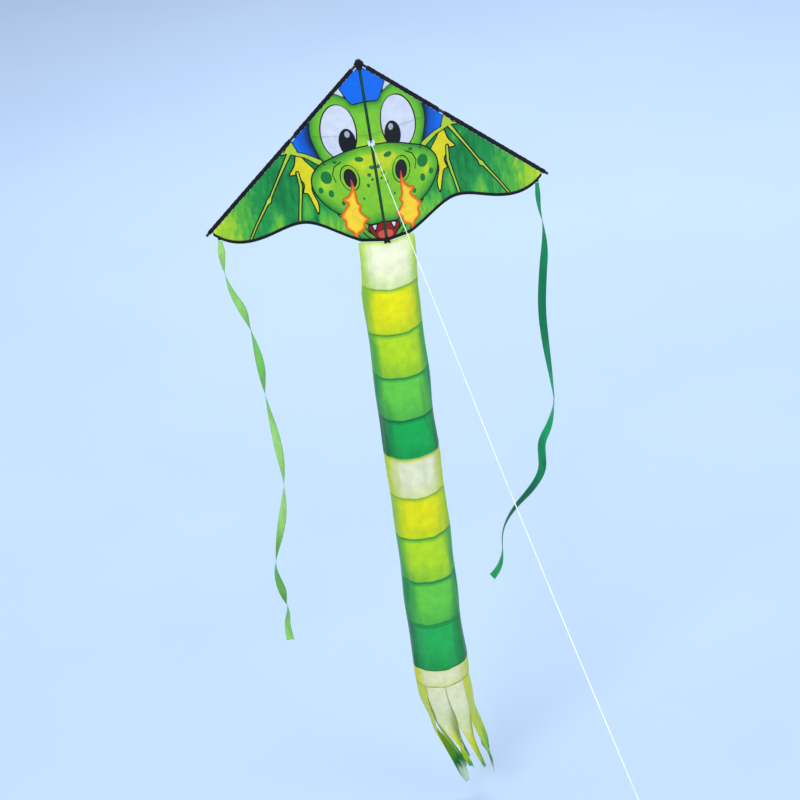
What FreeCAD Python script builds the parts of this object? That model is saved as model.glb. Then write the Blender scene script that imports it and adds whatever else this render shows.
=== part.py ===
import FreeCAD, Part
import math
import os
import Sketcher

# A delta kite with a tube tail.  Millimetres, +Z from tail to nose along the spine rod, -Y towards the flyer.
# The origin is the axis of the spine rod at the height where the flying line holds it.

doc = FreeCAD.newDocument("DragonKite")
Vector = FreeCAD.Vector
Rotation = FreeCAD.Rotation
Placement = FreeCAD.Placement
along_x = Vector(1, 0, 0)
along_y = Vector(0, 1, 0)
along_z = Vector(0, 0, 1)

# ---------------------------------------------------------------- driving dimensions
driving = {
    # sail, measured in the plane of one wing: "out" from the spine, "drop" down from the nose
    "nose_height": 280,
    "wing_out": 610,
    "wing_drop": 580,
    "dihedral": 22,
    "sail_back": 5.2,
    "sail_thick": 0.6,
    "seam_gap": 0.25,
    "sail_top_drop": 24,
    "chin_out": 84,
    "chin_drop": 619,
    "notch_out": 256,
    "notch_drop": 552,
    "lobe_out": 496,
    "lobe_drop": 617,
    "corner_run": 819,
    "binding_width": 11,
    "binding_thick": 1.6,
    "line_notch_out": 9.5,
    "line_notch_height": 9,
    # rods
    "rod_radius": 2.5,
    "spine_top_drop": 16,
    "spine_foot_drop": 613,
    "edge_rod_start": 26,
    "edge_rod_stop": 842,
    "spreader_drop": 252,
    "spreader_start": 18,
    "spreader_stop": 252,
    # sleeves
    "edge_sleeve_width": 14,
    "edge_sleeve_thick": 6.6,
    "edge_sleeve_bore": 2.8,
    "edge_sleeve_start": 40,
    "edge_sleeve_stop": 830,
    "fitting_centre": 358.4,
    "fitting_half": 12.8,
    "fitting_room": 1,
    "spine_sleeve_radius": 4.4,
    "spine_sleeve_bore": 2.9,
    "spine_sleeve_top_drop": 32,
    "spine_window_top_drop": 232,
    "spine_window_foot_drop": 292,
    "spine_sleeve_foot_drop": 598,
    # moulded fittings
    "fitting_radius": 4.5,
    "fitting_bore": 2.55,
    "socket_start": 14,
    "socket_length": 26,
    "socket_ring_radius": 4.1,
    "socket_ring_bore": 2.65,
    "socket_ring_height": 6.4,
    "socket_ring_step": 3.6,
    "socket_web_thick": 4,
    "edge_socket_length": 22,
    "stop_radius": 4.2,
    "stop_height": 4,
    "stop_gap": 0.6,
    "cap_radius": 4.4,
    "cap_length": 15,
    "cap_wall": 3,
    "cap_round": 1.6,
    # nose
    "nose_head_radius": 10,
    "nose_neck_height": 12,
    "nose_head_height": 20,
    "nose_round": 5,
    "nose_patch_gap": 10,
    "nose_patch_thick": 0.8,
    "nose_patch_half": 16,
    "nose_patch_height": 32,
    # line
    "cord_radius": 1.5,
    "tow_cord_radius": 1.2,
    "tow_loop_radius": 7,
    "tow_loop_reach": 7,
    "noose_radius": 5,
    "knot_radius": 3.2,
    "knot_length": 9,
    "hand_loop_radius": 22,
    "hand_loop_reach": 60,
    # tail
    "tab_half": 10,
    "tab_thick": 1.6,
    "tab_face": 8,
    "tab_top_drop": 606,
    "tab_foot_drop": 626,
    "tail_top_drop": 628,
    "tail_wall": 1.5,
    "tail_radius": 92,
    "mouth_side": 21,
    "mouth_front": -7.2,
    "mouth_back": 105,
    "mouth_cut_depth": 60,
    "mouth_cut_face": 25,
    "tail_neck_drop": 800,
    "tail_fold_drop": 1428,
    "tail_fold_gap": 3,
    "tail_end_drop": 2228,
    "tail_sway": 21,
    "fringe_thick": 1.5,
    "fringe_gap": 2,
    # streamers
    "streamer_out": 564,
    "streamer_tab_half": 7,
    "streamer_tab_thick": 1.2,
    "streamer_tab_top_drop": 584,
    "streamer_tab_foot_drop": 603,
    "streamer_half": 14,
    "streamer_thick": 2,
}
sheet = doc.addObject("Spreadsheet::Sheet", "Sizes")
for row, (alias, value) in enumerate(driving.items(), start=1):
    sheet.set(f"A{row}", str(value))
    sheet.setAlias(f"A{row}", alias)
doc.recompute()

tail_axis = [(0, 0), (-14, 38), (-30, -1), (-52, -50)]  # x and y of the tube's centre at its four heights
fringe_lengths = [372, 418, 352, 436, 388, 404, 446, 364]
fringe_sections = [(0.0, 90.0, 60.0, 0.0), (0.45, 66.0, 44.0, 26.0), (1.0, 44.0, 28.0, 84.0)]
left_streamer_route = [
    (0, 0), (-7, -76), (0, -176), (33, -262), (49, -366), (55, -476), (51, -596), (61, -736), (64, -896),
    (47, -996), (15, -1106), (-20, -1216), (-25, -1276), (-11, -1366), (-5, -1416), (-23, -1476), (-20, -1536),
]
right_streamer_route = [
    (0, 0), (-5, -76), (3, -146), (-1, -226), (-23, -336), (-41, -456), (-43, -576), (-39, -716), (-39, -806),
    (-65, -886), (-103, -946), (-107, -996), (-111, -1056), (-153, -1116), (-223, -1176), (-268, -1236),
    (-287, -1296), (-289, -1356), (-311, -1411), (-338, -1436),
]
line_route = [(0.84, -28.06, -2.78), (77, -1028, -222), (156, -2068, -444), (241, -3028, -637)]


def size(alias):
    return float(sheet.get(alias))


def height(drop_alias):
    return size("nose_height") - size(drop_alias)


def bind(thing, **expressions):
    for name, expression in expressions.items():
        thing.setExpression(name, expression)


# ---------------------------------------------------------------- places
edge_angle = math.atan2(size("wing_out"), size("wing_drop"))  # between the spine and a leading edge


def wing_place(side, out=0.0, back=0.0, up=0.0, turn=None):
    """A place given in one wing's own plane, out from the spine and back from its face, turned by the dihedral."""
    lean = Rotation(along_z, side * size("dihedral"))
    return Placement(lean.multVec(Vector(side * out, back, up)), lean * (turn or Rotation()))


def edge_point(run, inset):
    """Out and up of a point, run millimetres down the leading edge from the nose and inset towards the sail."""
    out = run * math.sin(edge_angle) - inset * math.cos(edge_angle)
    drop = run * math.cos(edge_angle) + inset * math.sin(edge_angle)
    return out, size("nose_height") - drop


def down_edge(side):
    return Rotation(along_y, side * (180 - math.degrees(edge_angle)))


# ---------------------------------------------------------------- making bodies
def body_sketch(label, role, placement):
    body = doc.addObject("PartDesign::Body", label)
    body.Label = label
    body.Placement = placement
    plane = next(f for f in body.Origin.OriginFeatures if f.Role == role)
    sketch = body.newObject("Sketcher::SketchObject", label + "_outline")
    sketch.AttachmentSupport = [(plane, "")]
    sketch.MapMode = "FlatFace"
    return body, sketch


def add_closed_lines(sketch, corners):
    """Straight sides through the corners, each corner held by two dimensions bound to the sheet."""
    points = [Vector(float(sketch.evalExpression(x)), float(sketch.evalExpression(y)), 0) for x, y in corners]
    sides = [Part.LineSegment(a, b) for a, b in zip(points, points[1:] + points[:1])]
    first = sketch.GeometryCount
    sketch.addGeometry(sides, False)
    for number, (corner, point) in enumerate(zip(corners, points)):
        before = first + (number - 1) % len(corners)
        sketch.addConstraint(Sketcher.Constraint("Coincident", before, 2, first + number, 1))
        for kind, axis, text, value in (("DistanceX", -2, corner[0], point.x), ("DistanceY", -1, corner[1], point.y)):
            if abs(value) < 1e-9:
                sketch.addConstraint(Sketcher.Constraint("PointOnObject", first + number, 1, axis))
            else:
                index = sketch.addConstraint(Sketcher.Constraint(kind, -1, 1, first + number, 1, value))
                sketch.setExpression(f"Constraints[{index}]", text)


def turned(label, corners, placement):
    """A body of revolution about its own Z, from corners given as radius and height expressions."""
    body, sketch = body_sketch(label, "XZ_Plane", placement)
    add_closed_lines(sketch, corners)
    revolution = body.newObject("PartDesign::Revolution", label + "_turn")
    revolution.Profile = sketch
    revolution.ReferenceAxis = (sketch, ["V_Axis"])
    revolution.Angle = 360
    return body


def ring_corners(bore, radius, low, high):
    return [(bore, low), (radius, low), (radius, high), (bore, high)]


def padded(label, role, draw, thickness, placement):
    """A body padded both ways from its sketch, whose outline is drawn by draw(sketch)."""
    body, sketch = body_sketch(label, role, placement)
    draw(sketch)
    pad = body.newObject("PartDesign::Pad", label + "_pad")
    pad.Profile = sketch
    pad.SideType = "Symmetric"
    bind(pad, Length=thickness)
    return body


def rod(label, radius, length, placement):
    cylinder = doc.addObject("Part::Cylinder", label)
    cylinder.Label = label
    bind(cylinder, Radius=radius, Height=length)
    cylinder.Placement = placement
    return cylinder


def joined(label, pieces, placement):
    fuse = doc.addObject("Part::MultiFuse", label)
    fuse.Label = label
    fuse.Shapes = pieces
    fuse.Placement = placement
    return fuse


def bored(label, solid, hole, placement):
    cut = doc.addObject("Part::Cut", label)
    cut.Label = label
    cut.Base = solid
    cut.Tool = hole
    cut.Placement = placement
    return cut


def shaped(label, shape, placement=None):
    feature = doc.addObject("Part::Feature", label)
    feature.Label = label
    feature.Shape = shape
    feature.Placement = placement or Placement()
    return feature


# ---------------------------------------------------------------- spine
def spine_rod():
    foot = Vector(0, 0, height("spine_foot_drop"))
    length = "Sizes.spine_foot_drop - Sizes.spine_top_drop"
    return rod("spine_rod", "Sizes.rod_radius", length, Placement(foot, Rotation()))


def spine_sleeve(label, top, foot):
    corners = ring_corners(
        "Sizes.spine_sleeve_bore", "Sizes.spine_sleeve_radius",
        f"Sizes.nose_height - Sizes.{foot}", f"Sizes.nose_height - Sizes.{top}",
    )
    return turned(label, corners, Placement())


def end_cap(label, placement):
    """A vinyl cap pushed over a rod's end; its open end is at height 0 and the rod reaches its closed wall."""
    corners = [
        ("Sizes.rod_radius", "0"),
        ("Sizes.cap_radius", "0"),
        ("Sizes.cap_radius", "Sizes.cap_length - Sizes.cap_round"),
        ("Sizes.cap_radius - Sizes.cap_round", "Sizes.cap_length"),
        ("0", "Sizes.cap_length"),
        ("0", "Sizes.cap_length - Sizes.cap_wall"),
        ("Sizes.rod_radius", "Sizes.cap_length - Sizes.cap_wall"),
    ]
    return turned(label, corners, placement)


def spine_end_cap():
    rim = size("nose_height") - size("spine_foot_drop") + size("cap_length") - size("cap_wall")
    return end_cap("spine_end_cap", Placement(Vector(0, 0, rim), Rotation(along_x, 180)))


def nose_cap():
    rim = "Sizes.nose_height - Sizes.spine_top_drop - Sizes.nose_neck_height"
    top = "Sizes.nose_head_height + Sizes.nose_neck_height"
    corners = [
        ("Sizes.rod_radius", "0"),
        ("Sizes.cap_radius", "0"),
        ("Sizes.cap_radius", "Sizes.nose_neck_height"),
        ("Sizes.nose_head_radius", "Sizes.nose_neck_height"),
        ("Sizes.nose_head_radius", f"{top} - Sizes.nose_round - Sizes.cap_wall"),
        ("Sizes.nose_head_radius - Sizes.nose_round", f"{top} - Sizes.cap_wall"),
        ("0", f"{top} - Sizes.cap_wall"),
        ("0", "Sizes.nose_neck_height"),
        ("Sizes.rod_radius", "Sizes.nose_neck_height"),
    ]
    body = turned("nose_cap", corners, Placement())
    bind(body, **{"Placement.Base.z": rim})
    return body


def nose_patch():
    """The stiff black patch in front of the two edge sleeves, rounded over the nose."""
    half = size("nose_patch_half")
    foot = size("nose_height") - size("nose_patch_height")
    shoulder = size("nose_height") - half * math.cos(edge_angle)

    def draw(sketch):
        left, right = Vector(-half, shoulder, 0), Vector(half, shoulder, 0)
        tip = Vector(0, size("nose_height") + 1, 0)
        low_left, low_right = Vector(-half * 0.35, foot, 0), Vector(half * 0.35, foot, 0)
        sketch.addGeometry(
            [
                Part.Arc(left, tip, right),
                Part.LineSegment(right, low_right),
                Part.LineSegment(low_right, low_left),
                Part.LineSegment(low_left, left),
            ],
            False,
        )

    middle = -size("nose_patch_gap") - size("nose_patch_thick") / 2
    place = Placement(Vector(0, middle, 0), Rotation())
    return padded("nose_patch", "XZ_Plane", draw, "Sizes.nose_patch_thick", place)


def spine_stop(label, middle):
    corners = ring_corners("Sizes.rod_radius", "Sizes.stop_radius", "0", "Sizes.stop_height")
    return turned(label, corners, Placement(Vector(0, 0, middle - size("stop_height") / 2), Rotation()))


def spine_stops():
    reach = size("socket_ring_step") + (size("socket_ring_height") + size("stop_height")) / 2 + size("stop_gap")
    middle = height("spreader_drop")
    return [spine_stop("spine_stop_upper", middle + reach), spine_stop("spine_stop_lower", middle - reach)]


def tail_tab():
    """Webbing folded over the foot of the spine, in front of the chin, from which the tail hangs."""
    def draw(sketch):
        add_closed_lines(sketch, [
            ("-Sizes.tab_half", "Sizes.nose_height - Sizes.tab_foot_drop"),
            ("Sizes.tab_half", "Sizes.nose_height - Sizes.tab_foot_drop"),
            ("Sizes.tab_half", "Sizes.nose_height - Sizes.tab_top_drop"),
            ("-Sizes.tab_half", "Sizes.nose_height - Sizes.tab_top_drop"),
        ])

    middle = -size("tab_face") + size("tab_thick") / 2
    return padded("tail_tab", "XZ_Plane", draw, "Sizes.tab_thick", Placement(Vector(0, middle, 0), Rotation()))


# ---------------------------------------------------------------- loops of line
def loop_pieces(label, radius, reach, cord):
    """Two half rings and two straight runs of cord: a long loop in the XY plane, closed round the origin."""
    pieces = []
    for end, turn in (("near", 0), ("far", 180)):
        half = doc.addObject("Part::Torus", f"{label}_{end}")
        bind(half, Radius1=radius, Radius2=cord)
        half.Angle3 = 180
        half.Placement = Placement(Vector(0, 0, 0), Rotation(along_z, turn))
        if end == "far":
            bind(half, **{"Placement.Base.y": f"-({reach})"})
        pieces.append(half)
    for hand, sign in (("a", ""), ("b", "-")):
        straight = rod(f"{label}_run_{hand}", cord, reach, Placement(Vector(), Rotation(along_x, 90)))
        bind(straight, **{"Placement.Base.x": f"{sign}({radius})"})
        pieces.append(straight)
    return pieces


def tow_loop():
    """The loop tied round the spine rod, which comes out through the window in the seam."""
    pieces = loop_pieces("tow", "Sizes.tow_loop_radius", "Sizes.tow_loop_reach", "Sizes.tow_cord_radius")
    return joined("tow_loop", pieces, Placement())


def knot(label, cord):
    """A turned, rounded knot along +Z, from the cord at height 0."""
    corners = [
        ("0", "0"),
        (cord, "0"),
        ("Sizes.knot_radius", "Sizes.knot_length * 0.3"),
        ("Sizes.knot_radius", "Sizes.knot_length * 0.7"),
        (cord, "Sizes.knot_length"),
        ("0", "Sizes.knot_length"),
    ]
    return turned(label, corners, Placement())


def along(start, stop):
    """The turn that points +Z from one point of the route to the next and keeps +X level."""
    direction = (Vector(*stop) - Vector(*start)).normalize()
    level = along_z.cross(direction).normalize()
    return Rotation(level, Vector(), direction, "ZXY")


def line_noose():
    """The noose of the flying line, round the front of the tow loop, with its knot."""
    ring = doc.addObject("Part::Torus", "noose_ring")
    bind(ring, Radius1="Sizes.noose_radius", Radius2="Sizes.tow_cord_radius")
    ring.Placement = Placement(Vector(), Rotation(along_y, 90))
    knot_piece = knot("noose_knot", "Sizes.cord_radius")
    bind(knot_piece, **{"Placement.Base.z": "Sizes.noose_radius"})
    start = Vector(*line_route[0])
    turn = along(line_route[0], line_route[1])
    place = start - turn.multVec(along_z) * (size("noose_radius") + size("knot_length"))
    return joined("line_noose", [ring, knot_piece], Placement(place, turn))


def line_end_loop():
    """The hand loop at the far end of the line, with its knot."""
    pieces = loop_pieces("hand", "Sizes.hand_loop_radius", "Sizes.hand_loop_reach", "Sizes.cord_radius")
    loop = joined("hand_loop", pieces, Placement())
    loop.Placement = Placement(Vector(), Rotation(along_x, -90))
    bind(loop, **{"Placement.Base.z": "Sizes.knot_length + Sizes.hand_loop_radius - Sizes.cord_radius"})
    turn = along(line_route[-2], line_route[-1])
    pieces = [knot("hand_knot", "Sizes.cord_radius"), loop]
    return joined("line_end_loop", pieces, Placement(Vector(*line_route[-1]), turn))


def rounded_path(route):
    """Straight runs joined by tangent arcs, each as large as 0.45 of its shorter run allows."""
    points = [Vector(*p) for p in route]
    edges = []
    start = points[0]
    for before, corner, after in zip(points, points[1:], points[2:]):
        arriving = (corner - before).normalize()
        leaving = (after - corner).normalize()
        half_turn = arriving.getAngle(leaving) / 2
        cut_back = 0.45 * min((corner - before).Length, (after - corner).Length)
        radius = cut_back / math.tan(half_turn)
        begin, end = corner - arriving * cut_back, corner + leaving * cut_back
        inward = (leaving - arriving).normalize()
        middle = corner + inward * (radius / math.cos(half_turn) - radius)
        edges.append(Part.LineSegment(start, begin).toShape())
        edges.append(Part.Arc(begin, middle, end).toShape())
        print(f"line radius {radius:.0f} mm, half turn {math.degrees(half_turn):.3f} degrees")
        start = end
    edges.append(Part.LineSegment(start, points[-1]).toShape())
    return Part.Wire(edges)


def flying_line():
    path = rounded_path(line_route)
    direction = Vector(*line_route[1]) - Vector(*line_route[0])
    circle = Part.makeCircle(size("cord_radius"), Vector(*line_route[0]), direction)
    tube = path.makePipeShell([Part.Wire([circle])], True, False)
    expected = math.pi * size("cord_radius") ** 2 * path.Length
    print(f"flying line {path.Length:.1f} mm long, volume {tube.Volume:.0f}, section times length {expected:.0f}")
    return shaped("flying_line", tube)


# ---------------------------------------------------------------- wings
def trailing_curve(side, lift):
    """The scalloped lower edge of one wing, from the chin to the outer corner, raised by lift."""
    top = size("nose_height") + lift
    corner_out, corner_up = edge_point(size("corner_run"), size("edge_sleeve_width"))
    marks = [
        (size("chin_out"), size("chin_drop")),
        ((size("chin_out") * 0.55 + size("notch_out") * 0.45), (size("chin_drop") + size("notch_drop")) / 2),
        (size("notch_out"), size("notch_drop")),
        ((size("notch_out") + size("lobe_out")) / 2, (size("notch_drop") + size("lobe_drop")) / 2 + 3),
        (size("lobe_out"), size("lobe_drop")),
        (corner_out, size("nose_height") - corner_up + size("binding_width")),
    ]
    curve = Part.BSplineCurve()
    curve.interpolate([Vector(side * out, top - drop, 0) for out, drop in marks])
    return curve


def chain(points):
    return [Part.LineSegment(a, b) for a, b in zip(points, points[1:])]


def sail(side, name):
    """One printed half of the sail, cut out beside the seam where the tow loop comes through."""
    lift = size("binding_width")
    curve = trailing_curve(side, lift)
    gap, step = size("seam_gap"), size("line_notch_out")
    rise = size("line_notch_height")
    top = size("nose_height") - size("sail_top_drop")
    top_out = size("sail_top_drop") * math.tan(edge_angle) - size("edge_sleeve_width") / math.cos(edge_angle)

    def draw(sketch):
        chin = Vector(side * gap, size("nose_height") - size("chin_drop") + lift, 0)
        points = [
            curve.EndPoint,
            Vector(side * top_out, top, 0),
            Vector(side * gap, top, 0),
            Vector(side * gap, rise, 0),
            Vector(side * step, rise, 0),
            Vector(side * step, -rise, 0),
            Vector(side * gap, -rise, 0),
            chin,
            curve.StartPoint,
        ]
        sketch.addGeometry(chain(points) + [curve], False)

    place = wing_place(side, back=-size("sail_back"))
    return padded(f"sail_{name}", "XZ_Plane", draw, "Sizes.sail_thick", place)


def trailing_binding(side, name):
    """Bias tape closed over the lower edge."""
    low, high = trailing_curve(side, 0), trailing_curve(side, size("binding_width"))
    foot = size("nose_height") - size("chin_drop")

    def draw(sketch):
        gap = side * size("seam_gap")
        points = [
            high.StartPoint,
            Vector(gap, foot + size("binding_width"), 0),
            Vector(gap, foot, 0),
            low.StartPoint,
        ]
        sketch.addGeometry(chain(points) + [low, Part.LineSegment(low.EndPoint, high.EndPoint), high], False)

    place = wing_place(side, back=-size("sail_back"))
    return padded(f"trailing_binding_{name}", "XZ_Plane", draw, "Sizes.binding_thick", place)


def edge_sleeve(side, label, start, stop):
    """A flat black sleeve along the leading edge, open at both ends for the rod."""
    width, thick = "Sizes.edge_sleeve_width", "Sizes.edge_sleeve_thick"
    body, sketch = body_sketch(label, "XY_Plane", Placement())
    flat = (size("edge_sleeve_width") - size("edge_sleeve_thick")) / 2
    bulge = size("edge_sleeve_thick") / 2
    ends = [Vector(-flat, bulge, 0), Vector(-flat, -bulge, 0), Vector(flat, -bulge, 0), Vector(flat, bulge, 0)]
    sketch.addGeometry(
        [
            Part.Arc(ends[0], Vector(-flat - bulge, 0, 0), ends[1]),
            Part.LineSegment(ends[1], ends[2]),
            Part.Arc(ends[2], Vector(flat + bulge, 0, 0), ends[3]),
            Part.LineSegment(ends[3], ends[0]),
            Part.Circle(Vector(), along_z, size("edge_sleeve_bore")),
        ],
        False,
    )
    pad = body.newObject("PartDesign::Pad", label + "_pad")
    pad.Profile = sketch
    bind(pad, Length=f"{stop} - ({start})")
    run = float(pad.evalExpression(start))
    out, up = edge_point(run, size("edge_sleeve_width") / 2)
    body.Placement = wing_place(side, out, -size("sail_back"), up, down_edge(side))
    return body


def edge_sleeves(side, name):
    room = "Sizes.fitting_half + Sizes.fitting_room"
    return [
        edge_sleeve(
            side, f"edge_sleeve_upper_{name}", "Sizes.edge_sleeve_start", f"Sizes.fitting_centre - ({room})"
        ),
        edge_sleeve(
            side, f"edge_sleeve_lower_{name}", f"Sizes.fitting_centre + {room}", "Sizes.edge_sleeve_stop"
        ),
    ]


def edge_place(side, run):
    out, up = edge_point(run, size("edge_sleeve_width") / 2)
    return wing_place(side, out, -size("sail_back"), up, down_edge(side))


def edge_rod(side, name):
    length = "Sizes.edge_rod_stop - Sizes.edge_rod_start"
    return rod(f"edge_rod_{name}", "Sizes.rod_radius", length, edge_place(side, size("edge_rod_start")))


def edge_caps(side, name):
    """Vinyl caps on both ends of the leading edge rod; the lower one sticks out past the sail's corner."""
    reach = size("cap_length") - size("cap_wall")
    nose_end = edge_place(side, size("edge_rod_start") + reach)
    nose_end.Rotation = nose_end.Rotation * Rotation(along_x, 180)
    return [
        end_cap(f"wingtip_cap_{name}", edge_place(side, size("edge_rod_stop") - reach)),
        end_cap(f"edge_rod_cap_{name}", nose_end),
    ]


def edge_fitting(side, name):
    """A vinyl sleeve on the leading edge rod with a blind socket behind the sail for the spreader's end."""
    half = size("fitting_half")
    run = size("fitting_centre")
    out, up = edge_point(run - half, size("edge_sleeve_width") / 2)
    spreader_up = height("spreader_drop")
    socket_end = size("spreader_stop") + 6
    sleeve = rod(f"fitting_sleeve_{name}", "Sizes.fitting_radius", "2 * Sizes.fitting_half",
                 Placement(Vector(side * out, -size("sail_back"), up), down_edge(side)))
    socket = rod(f"fitting_socket_{name}", "Sizes.fitting_radius", "Sizes.edge_socket_length",
                 Placement(Vector(side * socket_end, 0, spreader_up), Rotation(along_y, -90 * side)))
    sleeve_bore = rod(f"fitting_sleeve_bore_{name}", "Sizes.fitting_bore", "2 * Sizes.fitting_half",
                      Placement(Vector(side * out, -size("sail_back"), up), down_edge(side)))
    socket_bore = rod(f"fitting_socket_bore_{name}", "Sizes.fitting_bore", "Sizes.edge_socket_length",
                      Placement(Vector(side * size("spreader_stop"), 0, spreader_up), Rotation(along_y, -90 * side)))
    solid = joined(f"fitting_solid_{name}", [sleeve, socket], Placement())
    holes = joined(f"fitting_holes_{name}", [sleeve_bore, socket_bore], Placement())
    return bored(f"edge_fitting_{name}", solid, holes, wing_place(side))


def spreader_rod(side, name):
    length = "Sizes.spreader_stop - Sizes.spreader_start"
    turn = Rotation(along_y, 90 * side)
    place = wing_place(side, size("spreader_start"), 0, height("spreader_drop"), turn)
    return rod(f"spreader_rod_{name}", "Sizes.rod_radius", length, place)


def spreader_socket(side, name):
    """A moulded socket that holds the spreader's inner end and turns on the spine rod by its ring."""
    middle = height("spreader_drop")
    ring_middle = middle - side * size("socket_ring_step")
    ring_foot = ring_middle - size("socket_ring_height") / 2
    ring = rod(f"socket_ring_{name}", "Sizes.socket_ring_radius", "Sizes.socket_ring_height",
               Placement(Vector(0, 0, ring_foot), Rotation()))
    tube = rod(f"socket_tube_{name}", "Sizes.fitting_radius", "Sizes.socket_length",
               Placement(Vector(side * size("socket_start"), 0, middle), Rotation(along_y, 90 * side)))
    web = doc.addObject("Part::Box", f"socket_web_{name}")
    bind(web, Length="Sizes.socket_start + 2 - Sizes.socket_ring_bore - 1",
         Width="Sizes.socket_web_thick", Height="Sizes.socket_ring_height / 2 + 0.4")
    near = size("socket_ring_bore") + 1
    reach = size("socket_start") + 2 - near
    web_foot = ring_foot if side < 0 else ring_middle - 0.4
    web_start = near if side > 0 else -near - reach
    web.Placement = Placement(Vector(web_start, -size("socket_web_thick") / 2, web_foot), Rotation())
    ring_bore = rod(f"socket_ring_bore_{name}", "Sizes.socket_ring_bore", "Sizes.socket_ring_height",
                    Placement(Vector(0, 0, ring_foot), Rotation()))
    tube_bore = rod(f"socket_tube_bore_{name}", "Sizes.fitting_bore", "Sizes.socket_length",
                    Placement(Vector(side * size("spreader_start"), 0, middle), Rotation(along_y, 90 * side)))
    solid = joined(f"socket_solid_{name}", [ring, tube, web], Placement())
    holes = joined(f"socket_holes_{name}", [ring_bore, tube_bore], Placement())
    return bored(f"spreader_socket_{name}", solid, holes, wing_place(side))


def streamer_tab(side, name):
    """A short tab sewn behind the trailing tape, to which the streamer is fastened."""
    def draw(sketch):
        middle = side * size("streamer_out")
        half = size("streamer_tab_half")
        top, foot = height("streamer_tab_top_drop"), height("streamer_tab_foot_drop")
        points = [Vector(middle + x, y, 0) for x, y in ((-half, foot), (half, foot), (half, top), (-half, top))]
        sketch.addGeometry(chain(points + points[:1]), False)

    back = -size("sail_back") + (size("binding_thick") + size("streamer_tab_thick")) / 2 + 0.1
    return padded(f"streamer_tab_{name}", "XZ_Plane", draw, "Sizes.streamer_tab_thick", wing_place(side, back=back))


# ---------------------------------------------------------------- streamers and tail
def ribbon_outline(route, half):
    """Both edges of a ribbon along a route, each point moved sideways by half the width."""
    left, right = [], []
    for number, (x, y) in enumerate(route):
        before = route[max(number - 1, 0)]
        after = route[min(number + 1, len(route) - 1)]
        run = Vector(after[0] - before[0], after[1] - before[1], 0).normalize()
        left.append(Vector(x - run.y * half, y + run.x * half, 0))
        right.append(Vector(x + run.y * half, y - run.x * half, 0))
    return left + right[::-1]


def streamer(side, name, route):
    top = height("streamer_tab_foot_drop") - 2
    root = wing_place(side, size("streamer_out"), -size("sail_back") + size("binding_thick"), top).Base

    def draw(sketch):
        points = ribbon_outline(route, size("streamer_half"))
        sketch.addGeometry(chain(points + points[:1]), False)

    place = Placement(root, Rotation())
    return padded(f"streamer_{name}", "XZ_Plane", draw, "Sizes.streamer_thick", place)


def tube_section(number, wall):
    """Front and back arcs of the tail's cloth at one of its heights, with wall taken off inside."""
    heights = [height(a) for a in ("tail_top_drop", "tail_neck_drop", "tail_fold_drop", "tail_end_drop")]
    middle_x, middle_y = tail_axis[number]
    half = size("tail_radius") - wall
    if number == 0:
        sides, front, back = size("mouth_side"), size("mouth_front") + wall, size("mouth_back") - wall
    else:
        sides, front, back = middle_y, middle_y - half, middle_y + half
    left = Vector(middle_x - half, sides, heights[number])
    right = Vector(middle_x + half, sides, heights[number])
    arcs = [
        Part.Arc(left, Vector(middle_x, front, heights[number]), right).toShape(),
        Part.Arc(right, Vector(middle_x, back, heights[number]), left).toShape(),
    ]
    return Part.Wire(arcs)


def tube(numbers):
    outer = Part.makeLoft([tube_section(n, 0) for n in numbers], True, True)
    inner = Part.makeLoft([tube_section(n, size("tail_wall")) for n in numbers], True, True)
    return outer.cut(inner)


def slanted_gap(hand):
    """A wedge beside the tail's fold, so that the lower tube can lean to that side."""
    reach = size("tail_radius") * 1.3
    fall = reach * math.tan(math.radians(size("tail_sway")))
    top = height("tail_fold_drop") + 1
    middle = tail_axis[2][0]
    corners = [Vector(middle, -200, top), Vector(middle + hand * reach, -200, top),
               Vector(middle + hand * reach, -200, top - fall - 1), Vector(middle, -200, top - 1)]
    wedge = Part.Face(Part.makePolygon(corners + corners[:1]))
    return wedge.extrude(Vector(0, 400, 0))


def tail_tube_upper():
    """The upper half of the tube, with its mouth cut lower behind so that it clears the sail when it swings."""
    half = size("tail_radius") + 10
    mouth = Part.makeBox(2 * half, size("mouth_back"), size("mouth_cut_depth") + 10,
                         Vector(-half, size("mouth_cut_face"), height("tail_top_drop") - size("mouth_cut_depth")))
    return shaped("tail_tube_upper", tube([0, 1, 2]).cut(mouth))


def tail_tube_lower():
    shape = tube([2, 3])
    gap = size("tail_fold_gap")
    slab = Part.makeBox(400, 400, gap, Vector(-200, -200, height("tail_fold_drop") - gap))
    for tool in (slab, slanted_gap(-1), slanted_gap(1)):
        shape = shape.cut(tool)
    return shaped("tail_tube_lower", shape)


def fringe_strip(number):
    """One of the strips that the tube's end is cut into: it narrows as it gathers and drifts to one side."""
    angle = math.radians((number + 0.5) * 360 / len(fringe_lengths))
    outward = Vector(math.sin(angle), -math.cos(angle), 0)
    sideways = Vector(math.cos(angle), math.sin(angle), 0)
    centre = Vector(*tail_axis[3], height("tail_end_drop") - size("fringe_gap"))
    half_thick = size("fringe_thick") / 2
    wires = []
    for share, radius, width, drift in fringe_sections:
        middle = centre + outward * (radius - half_thick) + Vector(drift, 0, -share * fringe_lengths[number])
        across, through = sideways * (width / 2), outward * half_thick
        front, back = middle - through, middle + through
        corners = [front - across, front + across, back + across, back - across]
        wires.append(Part.makePolygon(corners + corners[:1]))
    return shaped(f"fringe_strip_{number + 1}", Part.makeLoft(wires, True, True))


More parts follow.
